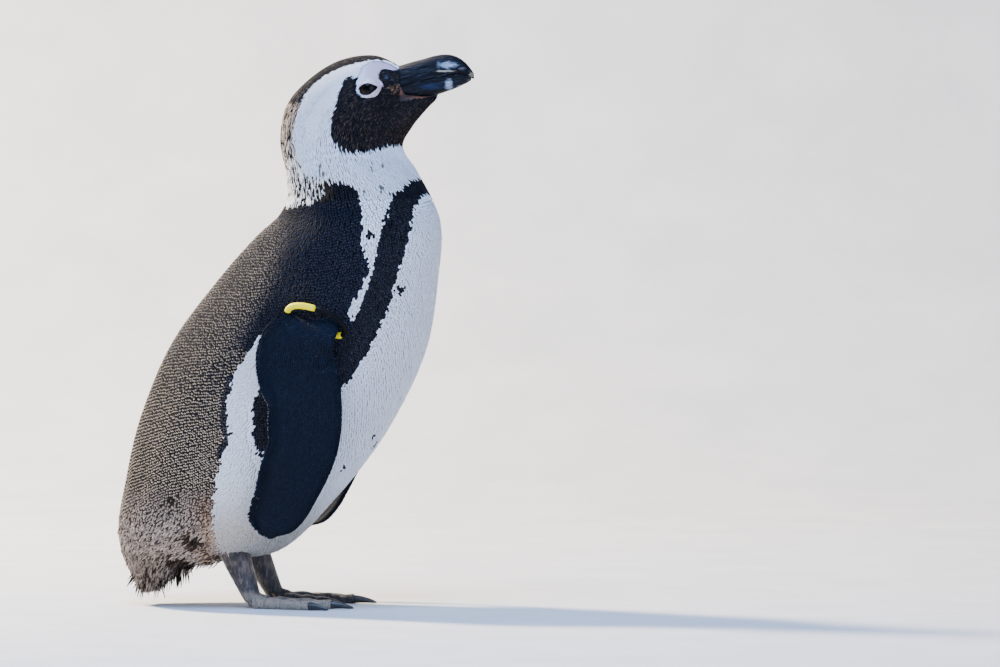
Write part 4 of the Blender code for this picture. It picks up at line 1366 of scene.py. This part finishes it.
def fringe(side, spacing=1.8):
    """Longer feathers that stick out behind the trailing edge and round the tip."""
    outer = flipper(side)
    place = np.linspace(2.6, 12.9, 400)
    edge = outer(place, math.pi)
    along = np.append(0, np.cumsum(np.linalg.norm(np.diff(edge, axis=0), axis=1)))
    found = []
    for lift, shift in ((-0.5, 0.0), (0.0, 0.33), (0.5, 0.66)):
        spots = np.arange(spacing * shift, along[-1], spacing)
        place_here = np.interp(spots, along, place)
        angle = math.pi + np.full(len(spots), lift * 0.35)
        found.append(np.column_stack([place_here, angle, spots, np.full(len(spots), lift)]))
    place, angle, spots, lift = np.vstack(found).T
    root = outer(place, angle)
    ahead, down, away = flipper_axes(outer, place, side)
    root = root + ahead * 1.6
    sway = RNG.normal(0, 0.12, len(place))
    direction = unit(down * (1.0 + sway)[:, None] - ahead * 0.95)
    size = 3.4 * ease(place, 7.5, 10.0) * (1 - 0.5 * ease(place, 11.6, 12.9))
    size = 2.2 * ease(place, 2.0, 4.5) + size
    tip = root + direction * (size * RNG.uniform(0.85, 1.15, len(place)))[:, None]
    normal = away * np.where(lift > 0, -1.0, 1.0)[:, None]
    gap, wide, deep = alike(len(place), 2.0, 0.78, 0.6)
    flat = np.column_stack([spots, place * 3])
    return Coat(
        root=root, tip=tip, normal=normal, gap=gap, place=place, angle=angle, flat=flat, wide=wide, deep=deep
    )


def merged(*coats):
    keys = set.intersection(*(set(c.__dict__) for c in coats))
    return Coat(**{key: np.concatenate([getattr(c, key) for c in coats]) for key in keys})


def flipper_colours(coat):
    """Blue-black outside. Inside, white with a dark border. A thin white line on the rear edge."""
    count = len(coat)
    inner = np.sin(coat.angle) < -0.05
    ahead = np.cos(coat.angle)
    middle = (ahead > -0.78) & (ahead < 0.4) & (coat.place > 2.5) & (coat.place < 7.4)
    speckle = RNG.random(count) < 0.14 + 0.5 * ease(np.abs(ahead), 0.4, 0.8)
    white = inner & middle & ~speckle
    vane = np.tile(rgb("0e1521"), (count, 1))
    sheen = grain(ahead * 6, coat.place * 2.2, 41) * (0.7 + 0.6 * RNG.random(count))
    end = blended(rgb("1c2b45"), rgb("374c6e"), np.clip(sheen - 0.2, 0, 1)[:, None])
    line = (ahead < -0.985) & (coat.place > 4.6) & (coat.place < 7.6)
    vane[white], end[white] = rgb("dfe2e6"), rgb("eeeeec")
    end[line & (RNG.random(count) < 0.75)] = rgb("c9ccd2")
    worn = (ahead < -0.9) & (coat.place > 10.6) & (coat.place < 12.2) & (RNG.random(count) < 0.5)
    end[worn] = np.where(RNG.random((count, 1)) < 0.5, rgb("d9d4ce"), rgb("6d4a3c"))[worn]
    shade = shaken(count, 0.12)
    coat.vane, coat.end = np.clip(vane * shade, 0, 0.9), np.clip(end * shade, 0, 0.9)
    coat.start = np.full(count, 0.84)
    return coat


FLIPPER_FINISH = feather_material("stiff flipper feathers", 0.62, 0.07)
for side in SIDES:
    coat = flipper_colours(merged(flipper_coat(side), fringe(side)))
    coat_pieces.append(lay_coat(f"feathers_flipper_{side}", coat, SCALE_LEAF, FLIPPER_FINISH))

# %% Tail quills


def quills(count=60):
    """Stiff narrow tail feathers, fanned across and downwards from under the rump."""
    share = np.linspace(-1, 1, count)
    share = share + RNG.uniform(-0.02, 0.02, count)
    layer = np.arange(count) % 3
    root = np.column_stack([-112.0 + layer * 9.0 + 3 * share**2, share * 12.0, 60.0 - layer * 5.0])
    tip = np.column_stack([
        np.choose(layer, [-127.0, -135.0, -96.0]) + RNG.uniform(-4, 4, count) + 6 * share**2,
        share * 21.0 + RNG.uniform(-1.5, 1.5, count),
        np.choose(layer, [3.0, 10.0, 10.0]) + RNG.uniform(0, 9, count) + 4 * np.abs(share),
    ])
    normal = unit(np.column_stack([np.full(count, -1.0), share * 0.6, np.full(count, -0.35)]))
    flat = np.column_stack([share * 40, layer * 5.0])
    gap, wide, deep = alike(count, 2.4, 1.0, 0.45)
    coat = Coat(
        root=root, tip=tip, normal=normal, gap=gap, place=share, angle=share, flat=flat, wide=wide, deep=deep
    )
    shade = shaken(count, 0.25)
    coat.vane = np.clip(np.tile(rgb("1d1916"), (count, 1)) * shade, 0, 0.5)
    coat.end = np.clip(np.tile(rgb("3b332c"), (count, 1)) * shade, 0, 0.5)
    coat.start = np.full(count, 0.9)
    return coat


QUILL_VANE = [
    (0.0, 0.3, 0.0), (0.2, 0.4, 0.03), (0.45, 0.5, 0.045), (0.7, 0.42, 0.04), (0.88, 0.22, 0.02),
    (1.0, 0.0, 0.0)
]
QUILL_LEAF = make_vane("quill_vane", QUILL_VANE, 0.012)
coat_pieces.append(lay_coat("tail_quills", quills(), QUILL_LEAF, PLUMAGE))


def bristles(count=130):
    """Thin dark bristles that stick out under the rump, in the gap between tail and legs."""
    share = RNG.random(count) ** 0.8
    place, angle = 0.5 + 2.1 * share, RNG.normal(0, 0.75, count)
    point, normal, headward = frame_at(plumage, place, angle)
    aim = normal * RNG.uniform(0.25, 0.9, (count, 1)) - 0.75 * headward
    aim = unit(aim + RNG.normal(0, 0.22, (count, 3)))
    length = RNG.uniform(6, 18, count) * (1 - 0.35 * share)
    tip = point + aim * length[:, None]
    tip[:, 2] = np.maximum(tip[:, 2], 3.0)
    gap, wide, deep = alike(count, 1.3, 0.8, 0.3)
    flat = np.column_stack([angle * 20, place * 20])
    coat = Coat(
        root=point - normal, tip=tip, normal=normal, gap=gap, place=place, angle=angle, flat=flat,
        wide=wide, deep=deep
    )
    pale = (RNG.random(count) < 0.3)[:, None]
    coat.vane = np.where(pale, rgb("6b5a4b"), rgb("1b1714"))
    coat.end = np.where(pale, rgb("8d7b6a"), rgb("2a231e"))
    coat.start = np.full(count, 0.6)
    return coat


coat_pieces.append(lay_coat("rump_bristles", bristles(), QUILL_LEAF, PLUMAGE))

# %% Cuffs where the legs come out of the plumage


def leg_cuff(side):
    """Soft feathers that hang over the top of a leg and hide where it comes out."""
    top, heel = leg_line(side)
    down = unit(heel - top)
    across = unit(np.cross(down, (0.0, 1.0, 0.0)))
    beside = np.cross(down, across)
    found = []
    for row, lift in enumerate(np.linspace(-6.0, 7.0, 6)):
        turned = np.linspace(0, math.tau, 60, endpoint=False) + (row % 2) * 0.05 + RNG.normal(0, 0.04, 60)
        found.append(np.column_stack([turned, lift + RNG.normal(0, 0.7, 60)]))
    turned, lift = np.vstack(found).T
    out = across * np.cos(turned)[:, None] + beside * np.sin(turned)[:, None]
    # The belly's underside climbs towards the tail, and the cuff with it
    root = top + out * 12.6 + down * (lift - 4.0)[:, None]
    length = RNG.uniform(4.5, 8.5, len(lift))
    tip = root + unit(down + out * 0.12 + RNG.normal(0, 0.1, out.shape)) * length[:, None]
    gap, wide, deep = alike(len(lift), 1.6, 0.85, 0.5)
    flat = np.column_stack([turned * 12, lift])
    coat = Coat(
        root=root, tip=tip, normal=out, gap=gap, place=lift, angle=turned, flat=flat, wide=wide, deep=deep
    )
    rear = ease(-out[:, 0], 0.2, 0.8) > RNG.random(len(lift))
    coat.vane = np.where(rear[:, None], rgb("4a3c31"), rgb("b3ada2"))
    coat.end = np.where(rear[:, None], rgb("8f7a68"), rgb("cdc8bd"))
    coat.start = np.full(len(lift), 0.5)
    return coat


for side in SIDES:
    coat_pieces.append(lay_coat(f"feathers_cuff_{side}", leg_cuff(side), HAIR_LEAF, PLUMAGE))

# %% [markdown]
# ## Eyes and lids
#
# The eyeball is a glossy sphere with a dark iris, deep between two lids. The lids are a ring of
# bare skin. Its inner rim follows an almond on the eyeball, and its outer edge lies on the face.

# %% Eyes
EYE_OPENING = (8.2, 5.1)  # half length and half height


def casting(made):
    """A tree for shooting rays at a mesh, in metres."""
    return BVHTree.FromObject(made, bpy.context.evaluated_depsgraph_get())


def onto_face(tree, x, z, sign):
    """The y where a ray from the side meets the skin."""
    start = Vector((x * MM, sign * 60 * MM, z * MM))
    hit = tree.ray_cast(start, Vector((0, -sign, 0)))[0]
    return hit.y / MM if hit else sign * 15.0


def almond(angle):
    """The eye's opening: pointed in front, round behind."""
    along = EYE_OPENING[0] * np.cos(angle)
    height = EYE_OPENING[1] * np.sin(angle) * (1 - 0.34 * ease(along, 0.0, EYE_OPENING[0]))
    lift = 0.35 * np.cos(angle)
    return along, height + lift


def make_lids(side, tree):
    sign, centre = SIDES[side], EYE_CENTRES[side]
    tilt = math.radians(LID_TILT)
    angles = np.linspace(0, math.tau, 96, endpoint=False)
    inner = np.column_stack(almond(angles))
    rows = []

    def placed(flat, y):
        x = centre[0] + flat[:, 0] * math.cos(tilt) - flat[:, 1] * math.sin(tilt)
        z = centre[2] + flat[:, 0] * math.sin(tilt) + flat[:, 1] * math.cos(tilt)
        return np.column_stack([x, y, z])

    for scale, radius in ((0.93, 8.95), (0.95, 9.3), (0.97, 9.65), (1.0, 9.85), (1.04, 9.9), (1.08, 9.85)):
        flat = inner * scale
        rows.append(placed(flat, centre[1] + sign * np.sqrt(radius**2 - (flat**2).sum(1))))
    edge = np.column_stack(
        [LID_OUTER[0] * 1.36 * np.cos(angles) + 0.4, LID_OUTER[1] * 1.46 * np.sin(angles)]
    )
    outer = placed(edge, np.zeros(len(angles)))
    face = np.array([onto_face(tree, x, z, sign) for x, _, z in outer])
    start = inner * 1.08
    for share in (0.08, 0.16, 0.24, 0.32, 0.4, 0.5, 0.62, 0.75, 0.88, 1.0):
        flat = start + (edge - start) * share
        y = rows[5][:, 1] + (face - sign * 0.35 - rows[5][:, 1]) * ease(share, -0.15, 0.85)
        # Never inside the eyeball
        ball = np.sqrt(np.maximum((EYE_RADIUS + 0.35) ** 2 - (flat**2).sum(1), 0))
        y = sign * np.maximum(sign * y, sign * centre[1] + ball)
        crease = 0.42 * math.exp(-(((share - 0.22) / 0.07) ** 2))
        crease += 0.2 * math.exp(-(((share - 0.45) / 0.06) ** 2))
        rows.append(placed(flat, y - sign * crease * ease(share, 1.0, 0.7)))
    rings = np.array(rows)
    mesh = mesh_from(f"lids_{side}", rings.reshape(-1, 3), grid_faces(len(rows), len(angles), caps=False))
    made = add_object(f"lids_{side}", mesh, LID_SKIN)
    rim = np.repeat(np.interp(np.arange(len(rows)), [0, 2, 3.4], [1.0, 0.9, 0.0]), len(angles))
    colour_layer(mesh, np.column_stack([rim] * 3), "rim")
    thick = made.modifiers.new("thick", "SOLIDIFY")
    thick.thickness, thick.offset = 0.4 * MM, -1.0
    if sign > 0:
        mesh.flip_normals()
    return applied(made)


def make_eye(side):
    ball = bmesh.new()
    bmesh.ops.create_uvsphere(ball, u_segments=56, v_segments=36, radius=EYE_RADIUS * MM)
    mesh = bpy.data.meshes.new(f"eyeball_{side}")
    turn = Matrix.Rotation(math.pi / 2, 4, "X")
    ball.transform(Matrix.Translation(Vector(EYE_CENTRES[side] * MM)) @ turn)
    ball.to_mesh(mesh)
    ball.free()
    return add_object(f"eyeball_{side}", mesh, EYE_GLASS)


def eye_material():
    """Wet dark eye: black pupil, dark brown iris and black rim, on a smooth surface."""
    made, tree, shader = new_material("wet dark eye", Roughness=0.1, Specular_IOR_Level=0.1)
    where = object_space(tree)
    centre = EYE_CENTRES["left"] * MM
    moved = vector_math(tree, "SUBTRACT", where, (centre[0], 0, centre[2]))
    away = vector_math(tree, "LENGTH", vector_math(tree, "MULTIPLY", moved, (1, 0, 1)))
    share = math_node(tree, "DIVIDE", away, EYE_RADIUS * MM)
    colour = ramp(
        tree, share, (0.0, rgb("010101")), (0.36, rgb("020202")), (0.42, rgb("150c07")),
        (0.62, rgb("1a0f09")),
        (0.7, rgb("050403")), (0.9, rgb("0c0809")),
    )
    streaks = noise(tree, stretched(tree, where, 1, 0.3, 1), 1.6, 4.0)
    colour = mix(tree, 0.5, colour, ramp(tree, streaks, (0.3, 0.45), (0.7, 1.0)), "MULTIPLY")
    tree.links.new(colour, shader.inputs["Base Color"])
    return made


def lid_material():
    """Thin bare skin, whitish lilac, pinker in front, finely wrinkled."""
    made, tree, shader = new_material("bare eyelid skin", Roughness=0.5)
    where = object_space(tree)
    parts = add_node(tree, "ShaderNodeSeparateXYZ", Vector=where)
    ahead = add_node(tree, "ShaderNodeMapRange", Value=parts.outputs["X"])
    ahead.inputs["From Min"].default_value, ahead.inputs["From Max"].default_value = 0.053, 0.069
    patches = noise(tree, where, 0.5, 4.0)
    colour = mix(tree, ahead.outputs[0], rgb("d6d8e6"), rgb("cdb6c2"))
    colour = mix(tree, 0.4, colour, ramp(tree, patches, (0.3, 0.62), (0.7, 1.0)), "MULTIPLY")
    rim = attribute(tree, "rim").outputs["Fac"]
    colour = mix(tree, rim, colour, rgb("2a2029"))
    tree.links.new(colour, shader.inputs["Base Color"])
    wrinkles = add_node(tree, "ShaderNodeTexVoronoi", Vector=where, Scale=1.2 / MM)
    bump(tree, shader, wrinkles.outputs["Distance"], 0.22, 0.9)
    let_light_in(shader, 0.12, 3.0, 1.0, 0.8)
    return made


EYE_GLASS, LID_SKIN = eye_material(), lid_material()
skin_rays = casting(skin)
eyes = {side: make_eye(side) for side in SIDES}
lids = {side: make_lids(side, skin_rays) for side in SIDES}
print("eye openings in mm:", [2 * c for c in EYE_OPENING])

# %% [markdown]
# ## The bill
#
# Each half of the bill is a row of D-shaped sections. The upper half has a groove along each side
# with the nostril in it, a ridge on top and a hook. The horn is blue-black with fine lines along
# it, painted pale highlights near the end, and a worn yellowish tip.

# %% Bill
BILL = [  # x, top, cutting edge, bottom, half width
    (82.5, 432.8, 415.8, 409.2, 10.6), (92.5, 435.9, 418.9, 408.5, 10.2), (102.5, 438.6, 421.5, 408.1, 9.6),
    (112.0, 441.3, 424.0, 409.6, 8.8), (121.5, 442.4, 425.7, 412.6, 7.8), (129.5, 440.7, 427.2, 415.6, 6.5),
    (136.0, 436.6, 427.2, 418.7, 4.9),
]
HOOK = [(140.8, 431.4, 424.4, 2.9), (143.6, 427.4, 422.8, 1.3)]
LOWER_END = [(135.0, 418.2, 427.0, 4.5), (139.4, 420.4, 425.3, 2.6), (141.4, 422.0, 424.2, 1.2)]
GROOVE = ([82.0, 88.0, 98.0, 107.0, 116.0, 125.0, 132.0], [428.4, 429.4, 430.2, 431.8, 431.3, 430.0, 429.4])
NOSTRIL_X, NOSTRIL_REACH = 101.5, 3.6
BILL_PARTING = 0.12  # from the cutting line to either half


def bill_half(upper):
    if upper:
        rows = [(x, top, cut + BILL_PARTING, w) for x, top, cut, low, w in BILL] + HOOK
    else:
        rows = [(x, low, cut - BILL_PARTING, w * 0.95) for x, top, cut, low, w in BILL[:-1]] + LOWER_END
    steps = curve_through(rows, np.linspace(0, len(rows) - 1, 120))
    angle = np.linspace(0, math.pi, 61)
    rings = []
    for x, edge, flat, half in steps:
        across = signed_power(np.cos(angle), 0.86) * half
        up = np.sin(angle) ** 0.92 * (edge - flat)
        z = flat + up
        if upper:
            # A groove on each side, deepest at the nostril, and a low ridge over the middle
            line = np.interp(x, *GROOVE)
            fade = ease(x, 83, 90) * ease(x, 133, 124)
            nostril = math.exp(-(((x - NOSTRIL_X) / NOSTRIL_REACH) ** 4))
            dent = (0.55 * fade + 0.75 * nostril) * np.exp(-(((z - line) / (0.75 + 0.3 * nostril)) ** 2))
            plate = 0.35 * fade * np.exp(-(((z - line + 3.2) / 2.0) ** 2))
            across = across - np.sign(across) * (dent - plate) * (np.abs(across) > half * 0.3)
            across = across * (1 - 0.1 * np.exp(-(((angle - math.pi / 2) / 0.35) ** 2)))
            ripple = 0.15 * np.sin((z - 0.24 * x) * 4.3 + 1.2 * np.sin(x * 0.13)) * ease(x, 130, 108)
            across = across + np.sign(across) * ripple * (np.abs(across) > half * 0.25)
        else:
            dent = 0.4 * ease(x, 84, 92) * ease(x, 131, 118) * np.exp(-(((z - flat + 4.4) / 0.8) ** 2))
            across = across - np.sign(across) * dent * (np.abs(across) > half * 0.3)
        inner = np.linspace(-1, 1, 9)[1:-1] * across[0]
        # The floor of the upper half and the top of the lower one bulge alike, so no light comes through
        arch = (0.7 if upper else 0.6) * np.cos(np.linspace(-1, 1, 9)[1:-1] * math.pi / 2)
        ring = np.column_stack([np.full(len(z), x), across, z])
        floor = np.column_stack([np.full(7, x), inner, flat + arch])
        rings.append(np.vstack([ring, floor]))
    return np.array(rings)


def blot(tree, where, centre, reach, rough=0.8, per_mm=0.8):
    """1 inside an ellipse in side view, 0 outside, with an uneven edge. Sizes in millimetres."""
    moved = vector_math(tree, "SUBTRACT", where, (centre[0] * MM, 0, centre[1] * MM))
    scaled = vector_math(tree, "MULTIPLY", moved, (1 / (reach[0] * MM), 0, 1 / (reach[1] * MM)))
    away = vector_math(tree, "LENGTH", scaled)
    uneven = noise(tree, stretched(tree, where, 0.3, 1, 1), per_mm, 4.0)
    uneven = math_node(tree, "MULTIPLY", uneven, rough * 2)
    away = math_node(tree, "ADD", away, math_node(tree, "SUBTRACT", uneven, rough))
    return ramp(tree, away, (0.35, 1.0), (1.2, 0.0))


def horn_material():
    """Horn grown in layers: blue-black, lined along its length, with painted pale highlights and a worn tip.
    """
    made, tree, shader = new_material("blue-black horn", Roughness=0.4, Specular_IOR_Level=0.1)
    where = object_space(tree)
    sloping = add_node(tree, "ShaderNodeMapping", Vector=where, Rotation=(0.0, 0.26, 0.0)).outputs["Vector"]
    lines = noise(tree, stretched(tree, sloping, 0.07, 0.7, 1.0), 1.0, 5.0, 0.65)
    broad = noise(tree, stretched(tree, where, 0.25, 0.7, 0.8), 0.16, 3.0)
    colour = mix(tree, ramp(tree, broad, (0.4, 0.0), (0.75, 1.0)), rgb("040507"), rgb("0e1521"))
    colour = mix(tree, ramp(tree, lines, (0.54, 0.0), (0.7, 0.5)), colour, rgb("45526a"))
    # The pale bluish blots (9fb0c6, a3b6d0, 8f99a6) are painted highlights; the yellowish-brown ones at the
    # hook and lower tip are the worn tip
    for centre, reach, code, amount in (
        ((123.0, 434.2), (9.0, 3.1), "9fb0c6", 0.8), ((121.5, 429.3), (9.2, 0.95), "b9b29c", 0.7),
        ((124.0, 418.6), (3.9, 5.2), "a3b6d0", 0.85), ((132.0, 417.2), (2.4, 1.1), "8f99a6", 0.5),
        ((134.5, 431.2), (3.6, 1.5), "6f6a74", 0.45), ((142.4, 426.4), (3.4, 2.6), "8f8570", 0.7),
        ((140.0, 421.8), (2.6, 1.4), "6e6656", 0.6), ((111.0, 417.0), (13.0, 3.4), "1c2c49", 0.7),
    ):
        spot = blot(tree, where, centre, reach)
        spot = math_node(tree, "MULTIPLY", spot, amount)
        colour = mix(tree, spot, colour, rgb(code))
    dull = ramp(tree, noise(tree, stretched(tree, where, 0.1, 1, 1), 0.9, 4.0), (0.42, 0.55), (0.6, 1.0))
    colour = mix(tree, 0.75, colour, dull, "MULTIPLY")
    tree.links.new(colour, shader.inputs["Base Color"])
    tree.links.new(ramp(tree, lines, (0.3, 0.38), (0.75, 0.62)), shader.inputs["Roughness"])
    bump(tree, shader, lines, 0.4, 1.0)
    return made


HORN = horn_material()
bill = {
    "upper": lofts("bill_top", [bill_half(True)], HORN),
    "lower": lofts("bill_bottom", [bill_half(False)], HORN),
}
print("bill halves:", [len(b.data.polygons) for b in bill.values()], "faces")

# %% [markdown]
# ## Claws and the flipper band
#
# A claw is a curved cone of black horn. The band is a soft loop of black tube round the flipper's
# root, with two bright yellow sleeves pushed over it.

# %% Claws
CLAW_INSET, CLAW_RADIUS, CLAW_TIP_HEIGHT = 1.2, 3.2, 0.9
HIND_CLAW = {"length": 5.8, "radius": 1.5, "drop": 0.6, "sides": 16}
HIND_CLAW_START = 8.2  # along the hind toe


def claw_rings(start, ahead, length, radius, drop, sides=20):
    share = np.linspace(0, 1, 18)[:, None]
    line = start + ahead * length * share - np.array([0, 0, 1.0]) * drop * share**2
    radii = radius * (1 - share[:, 0]) ** 0.62 + 0.3
    radii[0] *= 0.8
    return tube(line, radii, sides)


def make_claws(side):
    made = {}
    for toe in TOES:
        points, _, ahead = toe_line(side, toe)
        start = points[-1] - ahead * CLAW_INSET
        rings = claw_rings(start, ahead, CLAW_LENGTH[toe] + 1.4, CLAW_RADIUS, start[2] - CLAW_TIP_HEIGHT)
        made[toe] = lofts(f"claw_{toe}_{side}_horn", [rings], CLAW_HORN)
    root, ahead = hind_toe(side)
    rings = claw_rings(root + ahead * HIND_CLAW_START, ahead, **HIND_CLAW)
    made["hind"] = lofts(f"claw_hind_{side}_horn", [rings], CLAW_HORN)
    return made


def claw_material():
    """Black horn with paler streaks along it."""
    made, tree, shader = new_material(
        "black claw horn", Roughness=0.38, Coat_Weight=0.15, Coat_Roughness=0.25
    )
    where = object_space(tree)
    lines = noise(tree, stretched(tree, where, 0.25, 1, 1), 1.3, 4.0, 0.6)
    colour = mix(tree, ramp(tree, lines, (0.45, 0.0), (0.75, 0.7)), rgb("0e0d0e"), rgb("4a4542"))
    tree.links.new(colour, shader.inputs["Base Color"])
    tree.links.new(ramp(tree, lines, (0.3, 0.3), (0.7, 0.55)), shader.inputs["Roughness"])
    bump(tree, shader, lines, 0.15, 0.6)
    return made


CLAW_HORN = claw_material()
claws = {side: make_claws(side) for side in SIDES}
print("claws:", {side: list(found) for side, found in claws.items()})

# %% Flipper band
BAND_CENTRE, BAND_ALONG = np.array([27.6, -75.3, 231.0]), np.array([23.2, 0.0, -6.6])
BAND_OUT, BAND_IN = np.array([0.0, -6.0, 11.4]), np.array([0.0, 6.4, -7.2])
SLEEVES = {"back": (90.0, 172.0), "front": (-62.0, -36.0)}  # degrees round the loop
SLEEVE_RADIUS, TUBE_RADIUS = 2.6, 1.9


def band_points(start, end, steps):
    turned = np.radians(np.linspace(start, end, steps))
    along = signed_power(np.cos(turned), 0.86)[:, None]
    across = (np.abs(np.sin(turned)) ** 0.86)[:, None]
    bulge = np.where(np.sin(turned)[:, None] > 0, BAND_OUT, BAND_IN)
    return BAND_CENTRE + BAND_ALONG * along + bulge * across


def band_tube(name, start, end, radius, material, steps):
    """A tube with rounded ends."""
    points = band_points(start, end, steps)
    radii = np.full(steps, radius)
    cap = np.array([0.55, 0.85])
    radii[:2] *= cap
    radii[-2:] *= cap[::-1]
    points[1] = points[0] + (points[1] - points[0]) * 0.25
    points[-2] = points[-1] + (points[-2] - points[-1]) * 0.25
    return lofts(name, [tube(points, radii, 28)], material)


def plastic(name, code, other, roughness, gloss):
    """Moulded soft plastic, dulled in places, with a slight orange-peel surface."""
    made, tree, shader = new_material(name, Roughness=roughness, Specular_IOR_Level=gloss)
    where = object_space(tree)
    wear = ramp(tree, noise(tree, where, 0.35, 5.0, 0.6), (0.5, 0.0), (0.75, 1.0))
    tree.links.new(mix(tree, wear, rgb(code), rgb(other)), shader.inputs["Base Color"])
    bump(tree, shader, noise(tree, where, 1.2, 3.0), 0.06, 0.5)
    return made


YELLOW = plastic("yellow vinyl sleeve", "efdd00", "d2bd08", 0.42, 0.18)
BLACK_TUBE = plastic("black rubber tube", "060607", "101114", 0.6, 0.08)
(back_start, back_end), (front_start, front_end) = SLEEVES["back"], SLEEVES["front"]
band = {}
for part, start, end, radius, material, steps in (
    ("sleeve_back", back_start, back_end, SLEEVE_RADIUS, YELLOW, 60),
    ("sleeve_front", front_start, front_end, SLEEVE_RADIUS, YELLOW, 36),
    ("tube_back", back_end + 1, 360 + front_start - 1, TUBE_RADIUS, BLACK_TUBE, 60),
    ("tube_front", front_end + 1, back_start - 1, TUBE_RADIUS, BLACK_TUBE, 60),
):
    band[f"ring_{part}"] = band_tube(f"band_{part}", start, end, radius, material, steps)
print("band pieces:", list(band))

# %% [markdown]
# ## Floor, light and camera
#
# A pale floor curves up into a pale wall, which can't be seen from behind. A strong lamp behind
# and to the left stands for the sun, and two weak ones fill the near side. The camera is far away
# with a long lens, a little ahead of the bird and a little above its middle.

# %% Studio


def floor_material():
    made, tree, shader = new_material("pale plaster", Roughness=0.85)
    where = object_space(tree)
    patches = noise(tree, where, 0.012, 5.0, 0.6)
    colour = ramp(tree, patches, (0.3, rgb("bcbfc1")), (0.7, rgb("c9cbcc")))
    tree.links.new(colour, shader.inputs["Base Color"])
    bump(tree, shader, noise(tree, where, 0.6, 6.0, 0.7), 0.15, 0.4)
    clear = add_node(tree, "ShaderNodeBsdfTransparent")
    behind = add_node(tree, "ShaderNodeNewGeometry").outputs["Backfacing"]
    either = add_node(tree, "ShaderNodeMixShader", i0=behind, i1=shader.outputs[0], i2=clear.outputs[0])
    tree.links.new(either.outputs[0], tree.nodes["Material Output"].inputs["Surface"])
    return made


def backdrop():
    """A floor that curves up into a wall far behind."""
    near, far, bend, top, half_width = -6.0, 1.2, 0.9, 3.2, 5.0
    rows = [(near, 0.0), (far, 0.0)]
    for turned in np.linspace(0, math.pi / 2, 16)[1:]:
        rows.append((far + bend * math.sin(turned), bend - bend * math.cos(turned)))
    rows.append((far + bend, top))
    vertices = [(x / MM, y / MM, z / MM) for y, z in rows for x in (-half_width, half_width)]
    faces = [(2 * i, 2 * i + 1, 2 * i + 3, 2 * i + 2) for i in range(len(rows) - 1)]
    made = add_object("backdrop", mesh_from("backdrop", vertices, faces), floor_material())
    made.rotation_euler.z = SIDE_AZIMUTH


def aimed(name, data, target, azimuth, elevation, distance):
    """A lamp or camera that looks at a target. Azimuth 0 is the bird's right, 90 degrees its front."""
    made = bpy.data.objects.new(name, data)
    flat = math.cos(elevation)
    away = Vector((math.sin(azimuth) * flat, -math.cos(azimuth) * flat, math.sin(elevation)))
    made.location = target + away * distance
    made.rotation_euler = away.to_track_quat("Z", "Y").to_euler()
    SCENE.objects.link(made)
    return made


def lamp(name, azimuth, elevation, distance, size, power, colour):
    light = bpy.data.lights.new(name, "AREA")
    light.shape, light.size, light.energy, light.color = "DISK", size, power, rgb(colour)
    aimed(name, light, Vector((0, 0, 0.2)), math.radians(azimuth), math.radians(elevation), distance)


def place_camera(distance=16.0, width=0.8, aim=(0.163, 0.218)):
    lens = bpy.data.cameras.new("camera")
    lens.sensor_width, lens.lens = 36.0, 36.0 * distance / width
    lens.clip_start, lens.clip_end = 0.1, 30.0
    a, e = SIDE_AZIMUTH, SIDE_ELEVATION
    target = Vector((aim[0] * math.cos(a), aim[0] * math.sin(a), aim[1] / math.cos(e)))
    bpy.context.scene.camera = aimed("camera", lens, target, a, e, distance)


backdrop()
lamp("sun", -118, 42, 2.6, 0.4, 375, "ffebd0")
lamp("sky", -12, 58, 2.4, 1.6, 118, "aac7ff")
lamp("fill", 34, 12, 2.6, 1.6, 34, "b0caff")
world = bpy.data.worlds.new("studio")
world.use_nodes = True
world.node_tree.nodes["Background"].inputs["Color"].default_value = (*rgb("bed3f5"), 1.0)
world.node_tree.nodes["Background"].inputs["Strength"].default_value = 0.75
bpy.context.scene.world = world
place_camera()
print("camera is", round(bpy.context.scene.camera.location.z / MM), "mm above the floor")

# %% [markdown]
# ## Hand over
#
# Each piece says which body it rides on and which solids it stands for.

# %% Bodies and solids
FLESH = ["tail", "trunk", "neck", "head"]
FLESH += [f"{part}_{side}" for part in ("flipper", "leg", "foot") for side in SIDES]
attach(skin, "root")
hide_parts(*FLESH)
for vane in (FRONT_LEAF, HAIR_LEAF, SCALE_LEAF, QUILL_LEAF):
    bpy.data.objects.remove(vane)
for piece in coat_pieces:
    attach(piece, "root")
    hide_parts("trunk")


def hand_over(piece, finish, *solids):
    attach(piece, "root")
    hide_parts(*solids)


for side in SIDES:
    hand_over(eyes[side], "eye_dark", f"eye_{side}")
    hand_over(lids[side], "feathers_white", "head")
    for toe, claw in claws[side].items():
        hand_over(claw, "claw_horn", f"claw_{toe}_{side}")
hand_over(bill["upper"], "bill_horn", "bill_upper")
hand_over(bill["lower"], "bill_horn", "bill_lower")
for solid, piece in band.items():
    hand_over(piece, "ring_yellow" if "sleeve" in solid else "ring_black", solid)
